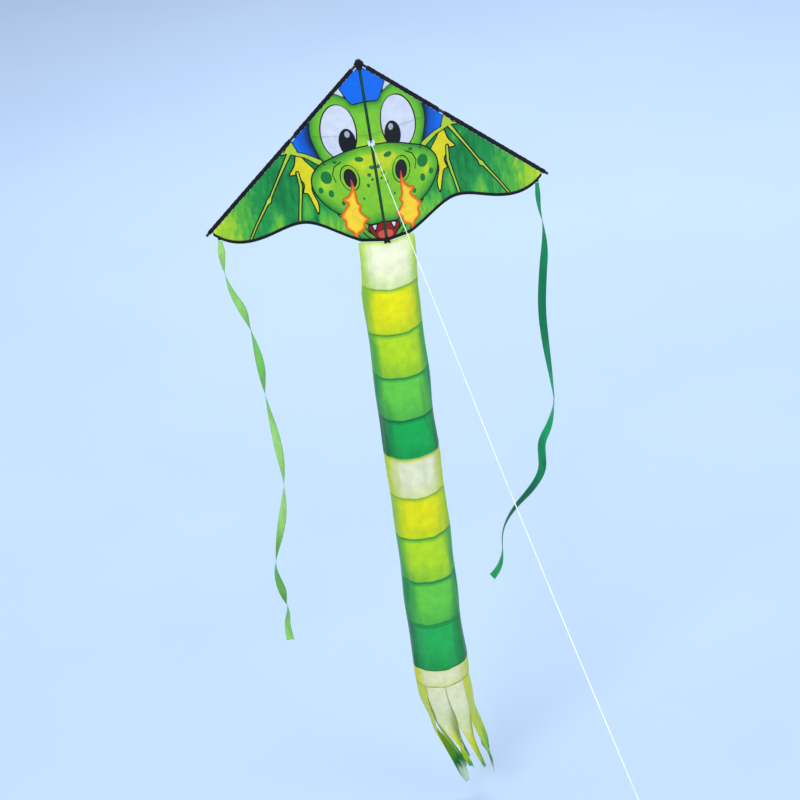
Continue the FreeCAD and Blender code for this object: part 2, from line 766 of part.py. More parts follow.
# ---------------------------------------------------------------- the kite
parts = [
    spine_rod(),
    spine_sleeve("spine_sleeve_upper", "spine_sleeve_top_drop", "spine_window_top_drop"),
    spine_sleeve("spine_sleeve_lower", "spine_window_foot_drop", "spine_sleeve_foot_drop"),
    spine_end_cap(),
    nose_cap(),
    nose_patch(),
    *spine_stops(),
    tail_tab(),
    tow_loop(),
    line_noose(),
    flying_line(),
    line_end_loop(),
]
for side, name in ((-1, "left"), (1, "right")):
    parts.append(sail(side, name))
    parts.append(trailing_binding(side, name))
    parts.extend(edge_sleeves(side, name))
    parts.append(edge_rod(side, name))
    parts.extend(edge_caps(side, name))
    parts.append(edge_fitting(side, name))
    parts.append(spreader_rod(side, name))
    parts.append(spreader_socket(side, name))
    parts.append(streamer_tab(side, name))
parts.append(streamer(-1, "left", left_streamer_route))
parts.append(streamer(1, "right", right_streamer_route))
parts.append(tail_tube_upper())
parts.append(tail_tube_lower())
parts.extend(fringe_strip(number) for number in range(len(fringe_lengths)))
doc.recompute()

for thing in doc.Objects:
    if "Invalid" in thing.State or "Error" in thing.State:
        raise RuntimeError(f"{thing.Label} failed: {thing.State}")
os.makedirs("parts", exist_ok=True)
for part in parts:
    shape = part.Shape
    if shape.isNull() or not shape.isValid() or len(shape.Solids) != 1:
        raise RuntimeError(f"{part.Label} isn't one valid solid")
    shape.exportStep(f"parts/{part.Label}.step")
    box = shape.BoundBox
    print(f"{part.Label}: x {box.XMin:.0f} to {box.XMax:.0f}, y {box.YMin:.0f} to {box.YMax:.0f}, "
          f"z {box.ZMin:.0f} to {box.ZMax:.0f}, volume {shape.Volume:.0f}")
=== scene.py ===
# A delta kite: printed cloth sail on rods, tube tail with a cut fringe, two streamers and a twisted line.
# Metres; +Z up the spine to the nose, -Y out of the printed face, the spine rod's axis at the origin.
import math

import bmesh
import bpy
import numpy as np
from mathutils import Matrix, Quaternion, Vector


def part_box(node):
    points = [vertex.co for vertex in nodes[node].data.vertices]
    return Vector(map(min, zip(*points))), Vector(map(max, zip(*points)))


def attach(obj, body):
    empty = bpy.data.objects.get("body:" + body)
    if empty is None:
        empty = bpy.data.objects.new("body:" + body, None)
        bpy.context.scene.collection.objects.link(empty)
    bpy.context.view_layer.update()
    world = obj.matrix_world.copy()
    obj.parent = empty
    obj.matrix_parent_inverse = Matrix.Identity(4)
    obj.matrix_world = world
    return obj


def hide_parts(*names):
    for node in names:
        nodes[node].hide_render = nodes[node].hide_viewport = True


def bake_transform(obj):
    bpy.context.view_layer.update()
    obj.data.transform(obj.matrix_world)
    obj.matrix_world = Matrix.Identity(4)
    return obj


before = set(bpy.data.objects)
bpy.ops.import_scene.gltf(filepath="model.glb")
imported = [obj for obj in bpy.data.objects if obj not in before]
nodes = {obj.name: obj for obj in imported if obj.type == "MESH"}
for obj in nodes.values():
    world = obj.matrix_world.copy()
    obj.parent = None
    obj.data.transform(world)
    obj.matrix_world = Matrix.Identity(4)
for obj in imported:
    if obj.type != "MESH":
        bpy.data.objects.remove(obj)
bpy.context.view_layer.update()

camera = {
    "place": (-0.4324, -8.3423, 3.3495),
    "aside": -2.683,  # degrees round the kite from straight in front
    "above": 27.021,  # degrees up from level
    "roll": -9.315,
    "lens": 128.57,
}


def makeCamera():
    aside, above, roll = (math.radians(camera[key]) for key in ("aside", "above", "roll"))
    back = Vector((math.sin(aside) * math.cos(above), -math.cos(aside) * math.cos(above), math.sin(above)))
    level = Vector((0, 0, 1)).cross(back).normalized()
    up = back.cross(level)
    right = level * math.cos(roll) + up * math.sin(roll)
    upward = up * math.cos(roll) - level * math.sin(roll)
    lens = bpy.data.cameras.new("camera")
    lens.lens = camera["lens"]
    lens.clip_end = 100
    eye = bpy.data.objects.new("camera", lens)
    bpy.context.scene.collection.objects.link(eye)
    turn = eye.matrix_world.copy()
    for column, axis in enumerate((right, upward, back, Vector(camera["place"]))):
        for row in range(3):
            turn[row][column] = axis[row]
    eye.matrix_world = turn
    bpy.context.scene.camera = eye


makeCamera()
print("camera set")


# shader nodes

def addNode(material, kind, sockets=None, **settings):
    made = material.node_tree.nodes.new(kind)
    for name, value in settings.items():
        setattr(made, name, value)
    for name, value in (sockets or {}).items():
        if isinstance(value, bpy.types.NodeSocket):
            material.node_tree.links.new(value, made.inputs[name])
        else:
            made.inputs[name].default_value = value
    return made


def rgb(red, green, blue):
    # a colour as a screen shows it, 0 to 255, made linear
    parts = (value / 255 for value in (red, green, blue))
    linear = [part / 12.92 if part < 0.04 else ((part + 0.055) / 1.055) ** 2.4 for part in parts]
    return (*linear, 1)


def blendColours(material, share, under, over, how="MIX"):
    mix = addNode(material, "ShaderNodeMix", {"Factor": share}, data_type="RGBA", blend_type=how)
    for slot, value in ((6, under), (7, over)):
        if isinstance(value, bpy.types.NodeSocket):
            material.node_tree.links.new(value, mix.inputs[slot])
        else:
            mix.inputs[slot].default_value = value
    return mix.outputs[2]


def sums(material, operation, first, second=0.0):
    return addNode(material, "ShaderNodeMath", {0: first, 1: second}, operation=operation).outputs[0]


def plus(material, first, second):
    return sums(material, "ADD", first, second)


def times(material, first, second):
    return sums(material, "MULTIPLY", first, second)


def ranged(material, value, low, high, start=0.0, stop=1.0):
    return addNode(material, "ShaderNodeMapRange", {
        "Value": value, "From Min": low, "From Max": high, "To Min": start, "To Max": stop}).outputs[0]


def ramp(material, value, stops, hard=False):
    made = addNode(material, "ShaderNodeValToRGB", {"Fac": value})
    made.color_ramp.interpolation = "CONSTANT" if hard else "EASE"
    marks = made.color_ramp.elements
    while len(marks) < len(stops):
        marks.new(1.0)
    for mark, (place, colour) in zip(marks, stops):
        mark.position = place
        mark.color = colour
    return made.outputs["Color"]


def surfacePlace(material, scale=(1, 1, 1), source="UV"):
    where = addNode(material, "ShaderNodeTexCoord").outputs[source]
    return addNode(material, "ShaderNodeMapping", {"Vector": where, "Scale": scale}).outputs[0]


def noise(material, place, scale, detail=3.0, roughness=0.5, distortion=0.0):
    return addNode(material, "ShaderNodeTexNoise", {
        "Vector": place, "Scale": scale, "Detail": detail, "Roughness": roughness,
        "Distortion": distortion}).outputs["Fac"]


def uneven(material, value, reach):
    # a noise's value, spread to this far either side of nought
    return ranged(material, value, 0.3, 0.7, -reach, reach)


def startMaterial(name):
    material = bpy.data.materials.new(name)
    material.use_nodes = True
    return material, material.node_tree.nodes["Principled BSDF"]


def wireShader(material, shader, colour, rough, height, distance, strength):
    # links a colour, a roughness and a bump to the shader, and gives the bumped normal
    bump = addNode(material, "ShaderNodeBump", {
        "Height": height, "Distance": distance, "Strength": strength}).outputs[0]
    for slot, value in (("Base Color", colour), ("Roughness", rough), ("Normal", bump)):
        material.node_tree.links.new(value, shader.inputs[slot])
    return bump


clothWeave = {
    "threadPitch": 0.0009,     # between neighbouring threads
    "ripstopPitch": 0.0055,    # between the heavier threads of the grid
    "threadHeight": 0.00003,
    "ripstopHeight": 0.00008,
    "creaseHeight": 0.0035,
    "roughness": (0.42, 0.62),
    "sheen": 0.25,
    "letsThrough": 0.34,
}


def waveLines(material, place, direction, pitch):
    return addNode(material, "ShaderNodeTexWave", {"Vector": place, "Scale": 0.31416 / pitch},
                   wave_type="BANDS", bands_direction=direction).outputs["Fac"]


def clothMaterial(name, makeColour, through=None, creaseScale=(9, 3, 1), crease=1.0):
    # kite cloth: ripstop weave, soft creases, sheen, and some light through it; follows the UV map
    material, shader = startMaterial(name)
    place = surfacePlace(material)
    threads = [waveLines(material, place, axis, clothWeave["threadPitch"]) for axis in "XY"]
    heavy = [ranged(material, waveLines(material, place, axis, clothWeave["ripstopPitch"]), 0.93, 0.99)
             for axis in "XY"]
    weave = times(material, plus(material, *threads), clothWeave["threadHeight"])
    grid = sums(material, "MAXIMUM", *heavy)
    weave = plus(material, weave, times(material, grid, clothWeave["ripstopHeight"]))
    folds = noise(material, surfacePlace(material, creaseScale), 1.6, 4.0, 0.55, 0.6)
    sharp = noise(material, surfacePlace(material, (creaseScale[0] * 1.7, creaseScale[1] * 2.2, 1)), 2.4, 2.0)
    ridge = sums(material, "ABSOLUTE", sums(material, "SUBTRACT", sharp, 0.5))
    height = plus(material, folds, times(material, ridge, -0.7))
    height = times(material, height, clothWeave["creaseHeight"] * crease)
    height = plus(material, height, weave)
    colour = makeColour(material)
    mottle = ranged(material, noise(material, place, 34, 5.0, 0.6), 0.3, 0.7, 0.9, 1.05)
    threadShade = ranged(material, grid, 0, 1, 1.0, 0.9)
    tone = addNode(material, "ShaderNodeCombineColor", {
        channel: times(material, mottle, threadShade) for channel in ("Red", "Green", "Blue")})
    colour = blendColours(material, 1.0, colour, tone.outputs[0], "MULTIPLY")
    rough = ranged(material, noise(material, place, 60, 3.0), 0.3, 0.7, *clothWeave["roughness"])
    bumped = wireShader(material, shader, colour, rough, height, 1.0, 0.7)
    shader.inputs["Sheen Weight"].default_value = clothWeave["sheen"]
    shader.inputs["Sheen Roughness"].default_value = 0.4
    shader.inputs["Specular IOR Level"].default_value = 0.35
    glow = addNode(material, "ShaderNodeBsdfTranslucent", {"Color": colour, "Normal": bumped})
    mixed = addNode(material, "ShaderNodeMixShader", {
        0: clothWeave["letsThrough"] if through is None else through,
        1: shader.outputs[0], 2: glow.outputs[0]})
    output = material.node_tree.nodes["Material Output"]
    material.node_tree.links.new(mixed.outputs[0], output.inputs["Surface"])
    return material


def alongColour(length, grain, scale, detail, reach, stops):
    # colours that follow one another down a strip of this length, a little uneven
    def colour(material):
        along = addNode(material, "ShaderNodeSeparateXYZ", {0: surfacePlace(material)}).outputs["Y"]
        wash = uneven(material, noise(material, surfacePlace(material, grain), scale, detail), reach)
        return ramp(material, plus(material, sums(material, "DIVIDE", along, length), wash), stops)
    return colour


# shared ways of making pieces

def meshFrom(shape, name):
    mesh = bpy.data.meshes.new(name)
    shape.to_mesh(mesh)
    shape.free()
    mesh.shade_smooth()
    return mesh


def addPiece(name, mesh, body, material, replaced=()):
    piece = bpy.data.objects.new(name, mesh)
    bpy.context.scene.collection.objects.link(piece)
    mesh.materials.clear()
    mesh.materials.append(material)
    if body:
        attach(piece, body)
    if replaced:
        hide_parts(*replaced)
    return piece


def clothShape(columns, rows, place, flatSize, closed=False, cut=None):
    # a flat grid, 0 to 1 both ways, gets its UVs in metres and is then laid out by place(across, along)
    shape = bmesh.new()
    bmesh.ops.create_grid(shape, x_segments=columns, y_segments=rows, size=0.5)
    layer = shape.loops.layers.uv.new("UVMap")
    for face in shape.faces:
        for loop in face.loops:
            loop[layer].uv = ((loop.vert.co.x + 0.5) * flatSize[0], (loop.vert.co.y + 0.5) * flatSize[1])
    for vert in shape.verts:
        vert.co = place(vert.co.x + 0.5, vert.co.y + 0.5)
    if cut:
        cut(shape)
    bmesh.ops.remove_doubles(shape, verts=shape.verts, dist=0.00002 if closed else 0.000005)
    return shape


def faceOutwards(mesh, reference):
    # turns the faces so that their normals agree with reference(centre)
    shape = bmesh.new()
    shape.from_mesh(mesh)
    turned = [face for face in shape.faces if face.normal.dot(reference(face.calc_center_median())) < 0]
    if len(turned) > len(shape.faces) / 2:
        bmesh.ops.reverse_faces(shape, faces=shape.faces)
    shape.to_mesh(mesh)
    shape.free()


def addThickness(piece, thickness, offset=0.0):
    wall = piece.modifiers.new("wall", "SOLIDIFY")
    wall.thickness = thickness
    wall.offset = offset


def meshOfCurve(name, curve):
    # the mesh that a curve makes; the curve is removed
    holder = bpy.data.objects.new(name, curve)
    bpy.context.scene.collection.objects.link(holder)
    bpy.context.view_layer.update()
    mesh = bpy.data.meshes.new_from_object(holder.evaluated_get(bpy.context.evaluated_depsgraph_get()))
    bpy.data.objects.remove(holder)
    bpy.data.curves.remove(curve)
    return mesh


def smoothRoute(points, name, resolution=12):
    curve = bpy.data.curves.new(name, "CURVE")
    curve.dimensions = "3D"
    spline = curve.splines.new("NURBS")
    spline.points.add(len(points) - 1)
    for point, place in zip(spline.points, points):
        point.co = (*place, 1)
    spline.order_u = 3
    spline.use_endpoint_u = True
    spline.resolution_u = resolution
    mesh = meshOfCurve(name, curve)
    route = [vert.co.copy() for vert in mesh.vertices]
    bpy.data.meshes.remove(mesh)
    return route


def alongRoute(route):
    # a function that gives the place and direction at a share, 0 to 1, of the route's length
    line = np.array(route)
    steps = np.linalg.norm(np.diff(line, axis=0), axis=1)
    reached = np.concatenate(([0], np.cumsum(steps)))
    total = reached[-1]

    def at(share):
        mark = min(max(share, 0), 1) * total
        here = Vector([np.interp(mark, reached, line[:, axis]) for axis in range(3)])
        low, high = max(mark - total * 0.01, 0), min(mark + total * 0.01, total)
        ahead = [np.interp(high, reached, line[:, axis]) - np.interp(low, reached, line[:, axis])
                 for axis in range(3)]
        return here, Vector(ahead).normalized()
    return at, total


def strandsMesh(name, places, radius, pitch, closed=False, strands=3, sides=2):
    # strands of yarn laid round a line of places, made as thin round curves and turned into one mesh
    line = [Vector(place) for place in places]
    count = len(line)
    yarn = radius * 0.54
    curve = bpy.data.curves.new(name, "CURVE")
    curve.dimensions = "3D"
    curve.bevel_depth = yarn
    curve.bevel_resolution = sides
    curve.use_fill_caps = not closed
    reached, total = [0.0], 0.0
    for before, after in zip(line, line[1:]):
        total += (after - before).length
        reached.append(total)
    if closed:
        total += (line[0] - line[-1]).length
    turns = max(1, round(total / pitch))
    side = None
    frames = []
    for number, here in enumerate(line):
        ahead = line[(number + 1) % count] if closed or number + 1 < count else here
        behind = line[number - 1] if closed or number else here
        direction = (ahead - behind).normalized()
        start = side or direction.orthogonal()
        side = (start - direction * start.dot(direction)).normalized()
        frames.append((side, direction.cross(side)))
    for strand in range(strands):
        spline = curve.splines.new("POLY")
        spline.points.add(count - 1)
        for number, here in enumerate(line):
            angle = 2 * math.pi * (turns * reached[number] / total + strand / strands)
            across, over = frames[number]
            centre = here + (across * math.cos(angle) + over * math.sin(angle)) * (radius - yarn)
            spline.points[number].co = (*centre, 1)
        spline.use_cyclic_u = closed
        spline.use_smooth = True
    mesh = meshOfCurve(name, curve)
    mesh.name = name
    return mesh


def joinMeshes(name, meshes):
    shape = bmesh.new()
    for mesh in meshes:
        shape.from_mesh(mesh)
        bpy.data.meshes.remove(mesh)
    return meshFrom(shape, name)


def tidyCopy(node, edge):
    # a CAD node's shape with its doubles merged and its sharp edges rounded
    shape = bmesh.new()
    shape.from_mesh(nodes[node].data)
    bmesh.ops.remove_doubles(shape, verts=shape.verts, dist=0.000002)
    bmesh.ops.dissolve_limit(shape, angle_limit=0.01, verts=shape.verts, edges=shape.edges)
    sharp = [line for line in shape.edges if line.is_manifold and line.calc_face_angle(0) > 0.7]
    bmesh.ops.bevel(shape, geom=sharp, offset=edge, offset_type="OFFSET", segments=2, profile=0.5,
                    affect="EDGES", material=-1, clamp_overlap=True)
    bmesh.ops.triangulate(shape, faces=[face for face in shape.faces if len(face.verts) > 4])
    return meshFrom(shape, node)


# the flying line and its loops

flyingLine = {
    "route": [(0.00084, -0.02806, -0.00278), (0.077, -1.028, -0.222), (0.156, -2.068, -0.444),
              (0.241, -3.028, -0.637)],
    "diameter": 0.003,
    "pitch": 0.0135,
    "stepsPerTurn": 7,
    "loopCord": 0.0012,
    "towLoop": (0.007, 0.007),      # radius and reach of the loop round the rod
    "nooseRadius": 0.005,
    "handLoop": (0.022, 0.060),
    "knot": (0.0034, 0.009),        # radius and length
    "yarn": rgb(236, 240, 226),
    "yarnShade": rgb(188, 200, 176),
}


def lineMaterial():
    material, shader = startMaterial("twistedLine")
    place = surfacePlace(material, source="Object")
    hairs = noise(material, place, 2600, 4.0, 0.7)
    worn = noise(material, place, 26, 4.0, 0.6)
    colour = ramp(material, times(material, plus(material, hairs, worn), 0.5),
                  [(0.3, flyingLine["yarnShade"]), (0.6, flyingLine["yarn"])])
    bump = addNode(material, "ShaderNodeBump", {"Height": hairs, "Distance": 0.0003, "Strength": 0.5})
    links = material.node_tree.links
    links.new(colour, shader.inputs["Base Color"])
    links.new(ranged(material, worn, 0.3, 0.7, 0.5, 0.75), shader.inputs["Roughness"])
    links.new(bump.outputs[0], shader.inputs["Normal"])
    shader.inputs["Sheen Weight"].default_value = 0.3
    return material


def roundedLoop(near, along, across, radius, reach):
    # places round a long loop: a half ring at near, one further along, and the runs between them
    far = near + along * reach
    places = []
    for centre, start in ((near, 90), (far, 270)):
        for step in range(17):
            angle = math.radians(start + step * 180 / 16)
            places.append(centre + along * math.cos(angle) * radius + across * math.sin(angle) * radius)
        for step in range(1, 8):
            other = far if centre is near else near
            share = step / 8
            edge = across * (-radius if centre is near else radius)
            places.append(centre.lerp(other, share) + edge)
    return places


def knotMesh(name, centre, along, size, cord):
    # an overhand knot of the same cord, pulled tight
    radius, length = size
    across = along.orthogonal().normalized()
    over = along.cross(across)
    places = []
    for step in range(72):
        turn = 2 * math.pi * step / 72
        places.append(centre
                      + across * ((math.sin(turn) + 2 * math.sin(2 * turn)) / 3 * (radius - cord * 0.5))
                      + over * ((math.cos(turn) - 2 * math.cos(2 * turn)) / 3 * (radius - cord * 0.5))
                      - along * (math.sin(3 * turn) * (length / 2 - cord)))
    return strandsMesh(name, places, cord, 0.007, closed=True)


def makeLine():
    twisted = lineMaterial()
    route = smoothRoute(flyingLine["route"], "route", 64)
    at, total = alongRoute(route)
    steps = round(total / flyingLine["pitch"] * flyingLine["stepsPerTurn"])
    places = [at(step / steps)[0] for step in range(steps + 1)]
    mesh = strandsMesh("flyingLine", places, flyingLine["diameter"] / 2, flyingLine["pitch"])
    line = addPiece("flyingLine", mesh, "line", twisted, ["flying_line"])

    thin = flyingLine["loopCord"]
    forward = Vector((0, -1, 0))
    radius, reach = flyingLine["towLoop"]
    mesh = strandsMesh("towLoop", roundedLoop(Vector(), forward, Vector((1, 0, 0)), radius, reach),
                       thin, 0.006, closed=True)
    addPiece("towLoop", mesh, "spine", twisted, ["tow_loop"])

    start = Vector(flyingLine["route"][0])
    away = (Vector(flyingLine["route"][1]) - start).normalized()
    knot = flyingLine["knot"]
    ringRadius = flyingLine["nooseRadius"]
    centre = start - away * (ringRadius + knot[1])
    level = Vector((0, 0, 1)).cross(away).normalized()
    upright = away.cross(level)
    ring = [centre + away * math.cos(turn) * ringRadius + upright * math.sin(turn) * ringRadius
            for turn in (2 * math.pi * step / 40 for step in range(40))]
    noose = joinMeshes("lineNoose", [
        strandsMesh("ring", ring, thin, 0.006, closed=True),
        knotMesh("knot", start - away * knot[1] / 2, away, knot, thin)])
    addPiece("lineNoose", noose, "line", twisted, ["line_noose"])

    stop = Vector(flyingLine["route"][-1])
    ahead = (stop - Vector(flyingLine["route"][-2])).normalized()
    level = Vector((0, 0, 1)).cross(ahead).normalized()
    radius, reach = flyingLine["handLoop"]
    near = stop + ahead * (knot[1] + radius)
    mesh = strandsMesh("handLoop", roundedLoop(near, ahead, level, radius, reach),
                       flyingLine["diameter"] / 2, flyingLine["pitch"], closed=True)
    addPiece("handLoop", mesh, "line", twisted, ["line_end_loop"])
    mesh = knotMesh("handKnot", stop + ahead * knot[1] / 2, ahead, knot, flyingLine["diameter"] / 2)
    handKnot = addPiece("handKnot", mesh, "line", twisted, ())
    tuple(flyingLine["route"][0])
    [tuple(place) for place in places]
    return twisted


twistedLine = makeLine()
print("flying line made")


# the printed sail

sail = {
    "topOut": 0.0049,         # how far out the leading edge starts, at the sail's top
    "dihedral": 22.0,
    "noseHeight": 0.280,
    "faceBack": -0.0052,
    "thickness": 0.0005,
    "columns": 188,
    "rows": 196,
    "spread": 1.12,             # above 1 the columns stand closer near the spine
    "belly": 0.007,
    "spreaderDrop": 0.252,
    "window": (0.0095, 0.271, 0.289),
    "flatArea": 0.168,
}


def wingPlace(side, out, back, height):
    turn = math.radians(sail["dihedral"]) * side
    x, y = side * out, back
    return Vector((x * math.cos(turn) - y * math.sin(turn), x * math.sin(turn) + y * math.cos(turn), height))


def flatOutline(node, side):
    # the sail's own corners in its flat cloth: its leading line and its trailing curve
    turn = math.radians(sail["dihedral"]) * side
    co = np.array([vert.co for vert in nodes[node].data.vertices])
    out = side * (co[:, 0] * math.cos(turn) + co[:, 1] * math.sin(turn))
    drop = sail["noseHeight"] - co[:, 2]
    tip = int(np.argmax(out))
    first = drop.min()
    steep = (drop[tip] - first) / (out[tip] - sail["topOut"])
    low = drop > first + steep * np.clip(out - sail["topOut"], 0, None) + 0.012
    low &= drop > 0.5
    order = np.argsort(out[low], kind="stable")
    edge = {}
    for reach, fall in zip(out[low][order], drop[low][order]):
        edge[round(float(reach), 4)] = max(edge.get(round(float(reach), 4), 0), float(fall))
    edge[round(float(out[tip]), 4)] = float(drop[tip])
    reaches = sorted(edge)
    return {"first": float(first), "steep": float(steep), "tip": float(out[tip]), "near": float(out.min()),
            "edge": (reaches, [edge[reach] for reach in reaches])}


def eased(value):
    value = min(max(value, 0.0), 1.0)
    return value * value * (3 - 2 * value)


# A dragon's head, the same on both wings: millimetres out from the spine and down from the nose.
# Each blob is a smooth closed curve through its points.  It isn't the generic drawing that it should
# be.
dragon = {
    "line": 2.2,                # half the width of the drawn lines
    "sky": [(-20, 0), (330, 292), (275, 302), (182, 342), (150, 400), (-20, 400)],
    "horn": [(58, 140), (70, 104), (92, 70), (99, 96), (108, 120)],
    "head": [(-30, 146), (10, 142), (42, 147), (62, 126), (104, 108), (150, 128), (184, 176), (197, 236),
             (188, 296), (170, 342), (120, 400), (-30, 400)],
    "eye": (101, 240, 60, 94, -5),
    "pupil": (76, 275, 29, 47, -3),
    "glint": (73, 247, 9, 11, 0),
    "snout": [(-40, 292), (20, 289), (80, 304), (132, 326), (184, 352), (216, 392), (218, 436), (190, 486),
              (146, 522), (88, 548), (34, 562), (6, 553), (-40, 553)],
    "nostril": (88, 400, 20, 31, 4),
    "ring": (89, 399, 32, 44, 4),
    "crease": [(112, 344), (136, 360), (146, 386), (138, 414)],
    "spots": [(48, 334, 15, 9), (22, 388, 7, 7), (30, 424, 6, 7), (168, 396, 19, 22), (160, 452, 9, 13),
              (193, 440, 8, 11), (132, 344, 8, 6), (10, 362, 9, 7), (14, 404, 5, 5), (168, 350, 6, 5),
              (124, 486, 7, 9), (52, 470, 4, 5)],
    "flame": [(86, 402), (92, 438), (108, 462), (126, 470), (120, 484), (112, 490), (128, 512), (141, 536),
              (130, 548), (128, 572), (108, 588), (98, 612), (88, 594), (66, 578), (60, 556), (44, 540),
              (58, 528), (70, 512), (64, 496), (74, 482), (76, 450)],
    "mouth": [(-20, 552), (20, 556), (52, 566), (44, 590), (20, 612), (-20, 616)],
    "tongue": (0, 596, 24, 16, 0),
    "tooth": [(20, 557), (42, 563), (31, 586)],
    "lip": [(78, 562), (60, 590), (28, 616), (-10, 620)],
    "jaw": [(150, 524), (112, 566), (84, 606)],
    "arm": [(180, 344, 11), (225, 318, 8), (272, 303, 7)],
    "claw": [(250, 306), (254, 284), (270, 252), (282, 284), (292, 306)],
    "longBone": [(276, 306, 7), (330, 396, 4.5), (366, 458, 4.5), (374, 472, 9), (384, 484, 5), (430, 556, 4),
                 (458, 606, 4)],
    "innerBone": [(262, 376, 5), (258, 424, 6), (270, 490, 5), (278, 546, 5)],
    "topBone": [(276, 302, 5), (330, 312, 4), (380, 350, 4), (428, 402, 3)],
    "web": [(252, 306), (226, 340), (202, 372), (216, 404), (222, 440), (208, 486), (212, 520), (226, 486),
            (238, 452), (252, 446), (246, 416), (268, 386), (290, 384), (268, 350)],
    # the centre line: seam thread, and painted shadow of the spine rod behind it; this is its half width
    "seamAndSpineShadowHalf": 2.6,
    # paler places on the wings: how much, then the middle and reach outwards and down
    "wingLights": [(0.42, 352, 34, 560, 60), (0.40, 250, 26, 500, 70), (0.30, 300, 30, 345, 26)],
    "fireDepths": {"fireMid": 3.2, "fireCore": 9.0},    # how far inside the flame each colour starts
}


def smoothLoop(points, per=7):
    # a closed curve through the points, rounded between them
    knots = np.array(points, float)
    line = []
    for number in range(len(knots)):
        a, b, c, d = (knots[(number + shift) % len(knots)] for shift in (-1, 0, 1, 2))
        for step in range(per):
            t = step / per
            line.append(0.5 * (2 * b + (c - a) * t + (2 * a - 5 * b + 4 * c - d) * t * t
                               + (3 * b - a - 3 * c + d) * t ** 3))
    return np.array(line)


def insideLoop(x, y, line):
    # how far inside the closed line each place is, less than nought outside
    away = np.full(len(x), 1e9)
    inside = np.zeros(len(x), bool)
    for (ax, ay), (bx, by) in zip(line, np.roll(line, -1, 0)):
        dx, dy = bx - ax, by - ay
        share = np.clip(((x - ax) * dx + (y - ay) * dy) / (dx * dx + dy * dy + 1e-12), 0, 1)
        away = np.minimum(away, (x - ax - share * dx) ** 2 + (y - ay - share * dy) ** 2)
        if ay != by:
            crossing = (ay > y) != (by > y)
            inside ^= crossing & (x < ax + (y - ay) * dx / dy)
    return np.where(inside, 1, -1) * np.sqrt(away)


def insideOval(x, y, oval):
    middleX, middleY, wide, high, lean = (*oval, 0)[:5]
    turn = math.radians(lean)
    px = (x - middleX) * math.cos(turn) + (y - middleY) * math.sin(turn)
    py = (y - middleY) * math.cos(turn) - (x - middleX) * math.sin(turn)
    level = np.sqrt((px / wide) ** 2 + (py / high) ** 2) + 1e-9
    slope = np.sqrt((px / wide ** 2) ** 2 + (py / high ** 2) ** 2) / level + 1e-9
    return (1 - level) / slope


def insideLimb(x, y, limb):
    best = np.full(len(x), -1e9)
    for (ax, ay, ar), (bx, by, br) in zip(limb, limb[1:]):
        dx, dy = bx - ax, by - ay
        share = np.clip(((x - ax) * dx + (y - ay) * dy) / (dx * dx + dy * dy), 0, 1)
        away = np.hypot(x - ax - share * dx, y - ay - share * dy)
        best = np.maximum(best, ar + (br - ar) * share - away)
    return best


def paintDragon(x, y):
    # the share of each ink at every place, as millimetres inside that ink's shapes
    blob = {key: insideLoop(x, y, smoothLoop(dragon[key]))
            for key in ("horn", "head", "snout", "flame", "mouth", "claw", "web")}
    blob["sky"] = insideLoop(x, y, np.array(dragon["sky"], float))
    blob["tooth"] = insideLoop(x, y, np.array(dragon["tooth"], float))
    for key in ("eye", "pupil", "glint", "nostril", "ring", "tongue"):
        blob[key] = insideOval(x, y, dragon[key])
    for key in ("arm", "longBone", "innerBone", "topBone"):
        blob[key] = insideLimb(x, y, dragon[key])
    blob["lip"] = insideLimb(x, y, [(*place, 8) for place in dragon["lip"]])
    bones = np.maximum.reduce([blob[key] for key in ("arm", "claw", "longBone", "innerBone", "topBone")])
    spots = np.maximum.reduce([insideOval(x, y, spot) for spot in dragon["spots"]])
    spots = np.minimum(spots, blob["snout"] - 2)
    blob["pupil"] = np.minimum(blob["pupil"], blob["eye"])
    blob["tongue"] = np.minimum(blob["tongue"], blob["mouth"])
    # lines are drawn round each shape where nothing above it covers it
    half = dragon["line"]
    cover = blob["flame"].copy()
    ink = np.full(len(x), -1e9)
    for shape in (blob["tooth"], blob["mouth"], blob["lip"], blob["nostril"], blob["snout"], blob["eye"],
                  blob["head"], blob["horn"], bones, blob["web"]):
        ink = np.maximum(ink, np.minimum(half - np.abs(shape), -cover - half * 0.5))
        cover = np.maximum(cover, shape)
    ringLine = np.minimum(half * 0.8 - np.abs(blob["ring"]), -blob["flame"])
    creaseLine = insideLimb(x, y, [(*place, half * 0.8) for place in dragon["crease"]])
    jawLine = insideLimb(x, y, [(*place, half * 0.8) for place in dragon["jaw"]])
    creaseLine = np.maximum(creaseLine, np.minimum(jawLine, -blob["snout"]))
    ink = np.maximum.reduce([ink, ringLine, np.minimum(creaseLine, -blob["flame"])])
    skin = np.where(blob["snout"] > 0, blob["snout"], blob["head"])
    lit = np.exp(-((x - 26) ** 2 + (y - 330) ** 2) / 52 ** 2)
    lit += 0.7 * np.exp(-((x - 196) ** 2 + (y - 420) ** 2) / 34 ** 2) * (blob["snout"] > 0)
    spread = 38
    wingTone = 0.08 + 0.85 * np.clip((x - 330) / 250, 0, 1) ** 1.3
    for lift, middleX, wide, middleY, high in dragon["wingLights"]:
        wingTone = wingTone + lift * np.exp(-((x - middleX) / wide) ** 2 - ((y - middleY) / high) ** 2)
    painted = {key: blob[key] for key in ("web", "sky", "horn", "head", "eye", "pupil", "glint", "snout",
                                          "nostril", "lip", "mouth", "tongue", "tooth")}
    painted.update({
        "spots": spots, "bones": np.minimum(bones, -blob["snout"]), "fire": blob["flame"], "ink": ink,
        # the centre line, part seam and part painted shadow of the spine rod
        "seam": dragon["seamAndSpineShadowHalf"] - x,
        # rodShade: the painted shadow of the spreader rod, a narrow band at the spreader's drop
        "rodShade": np.minimum(3.2 - np.abs(y - sail["spreaderDrop"] * 1000), 252 - x),
        "skinTone": np.clip(skin / spread, 0, 1) * 0.75 + lit * 0.35,
        "skyTone": np.clip(-blob["head"] / 55, 0, 1) + (y < 200),
        "wingTone": wingTone + 0.5 * (x < 215) * np.exp(-((y - 560) / 60) ** 2),
    })
    return painted


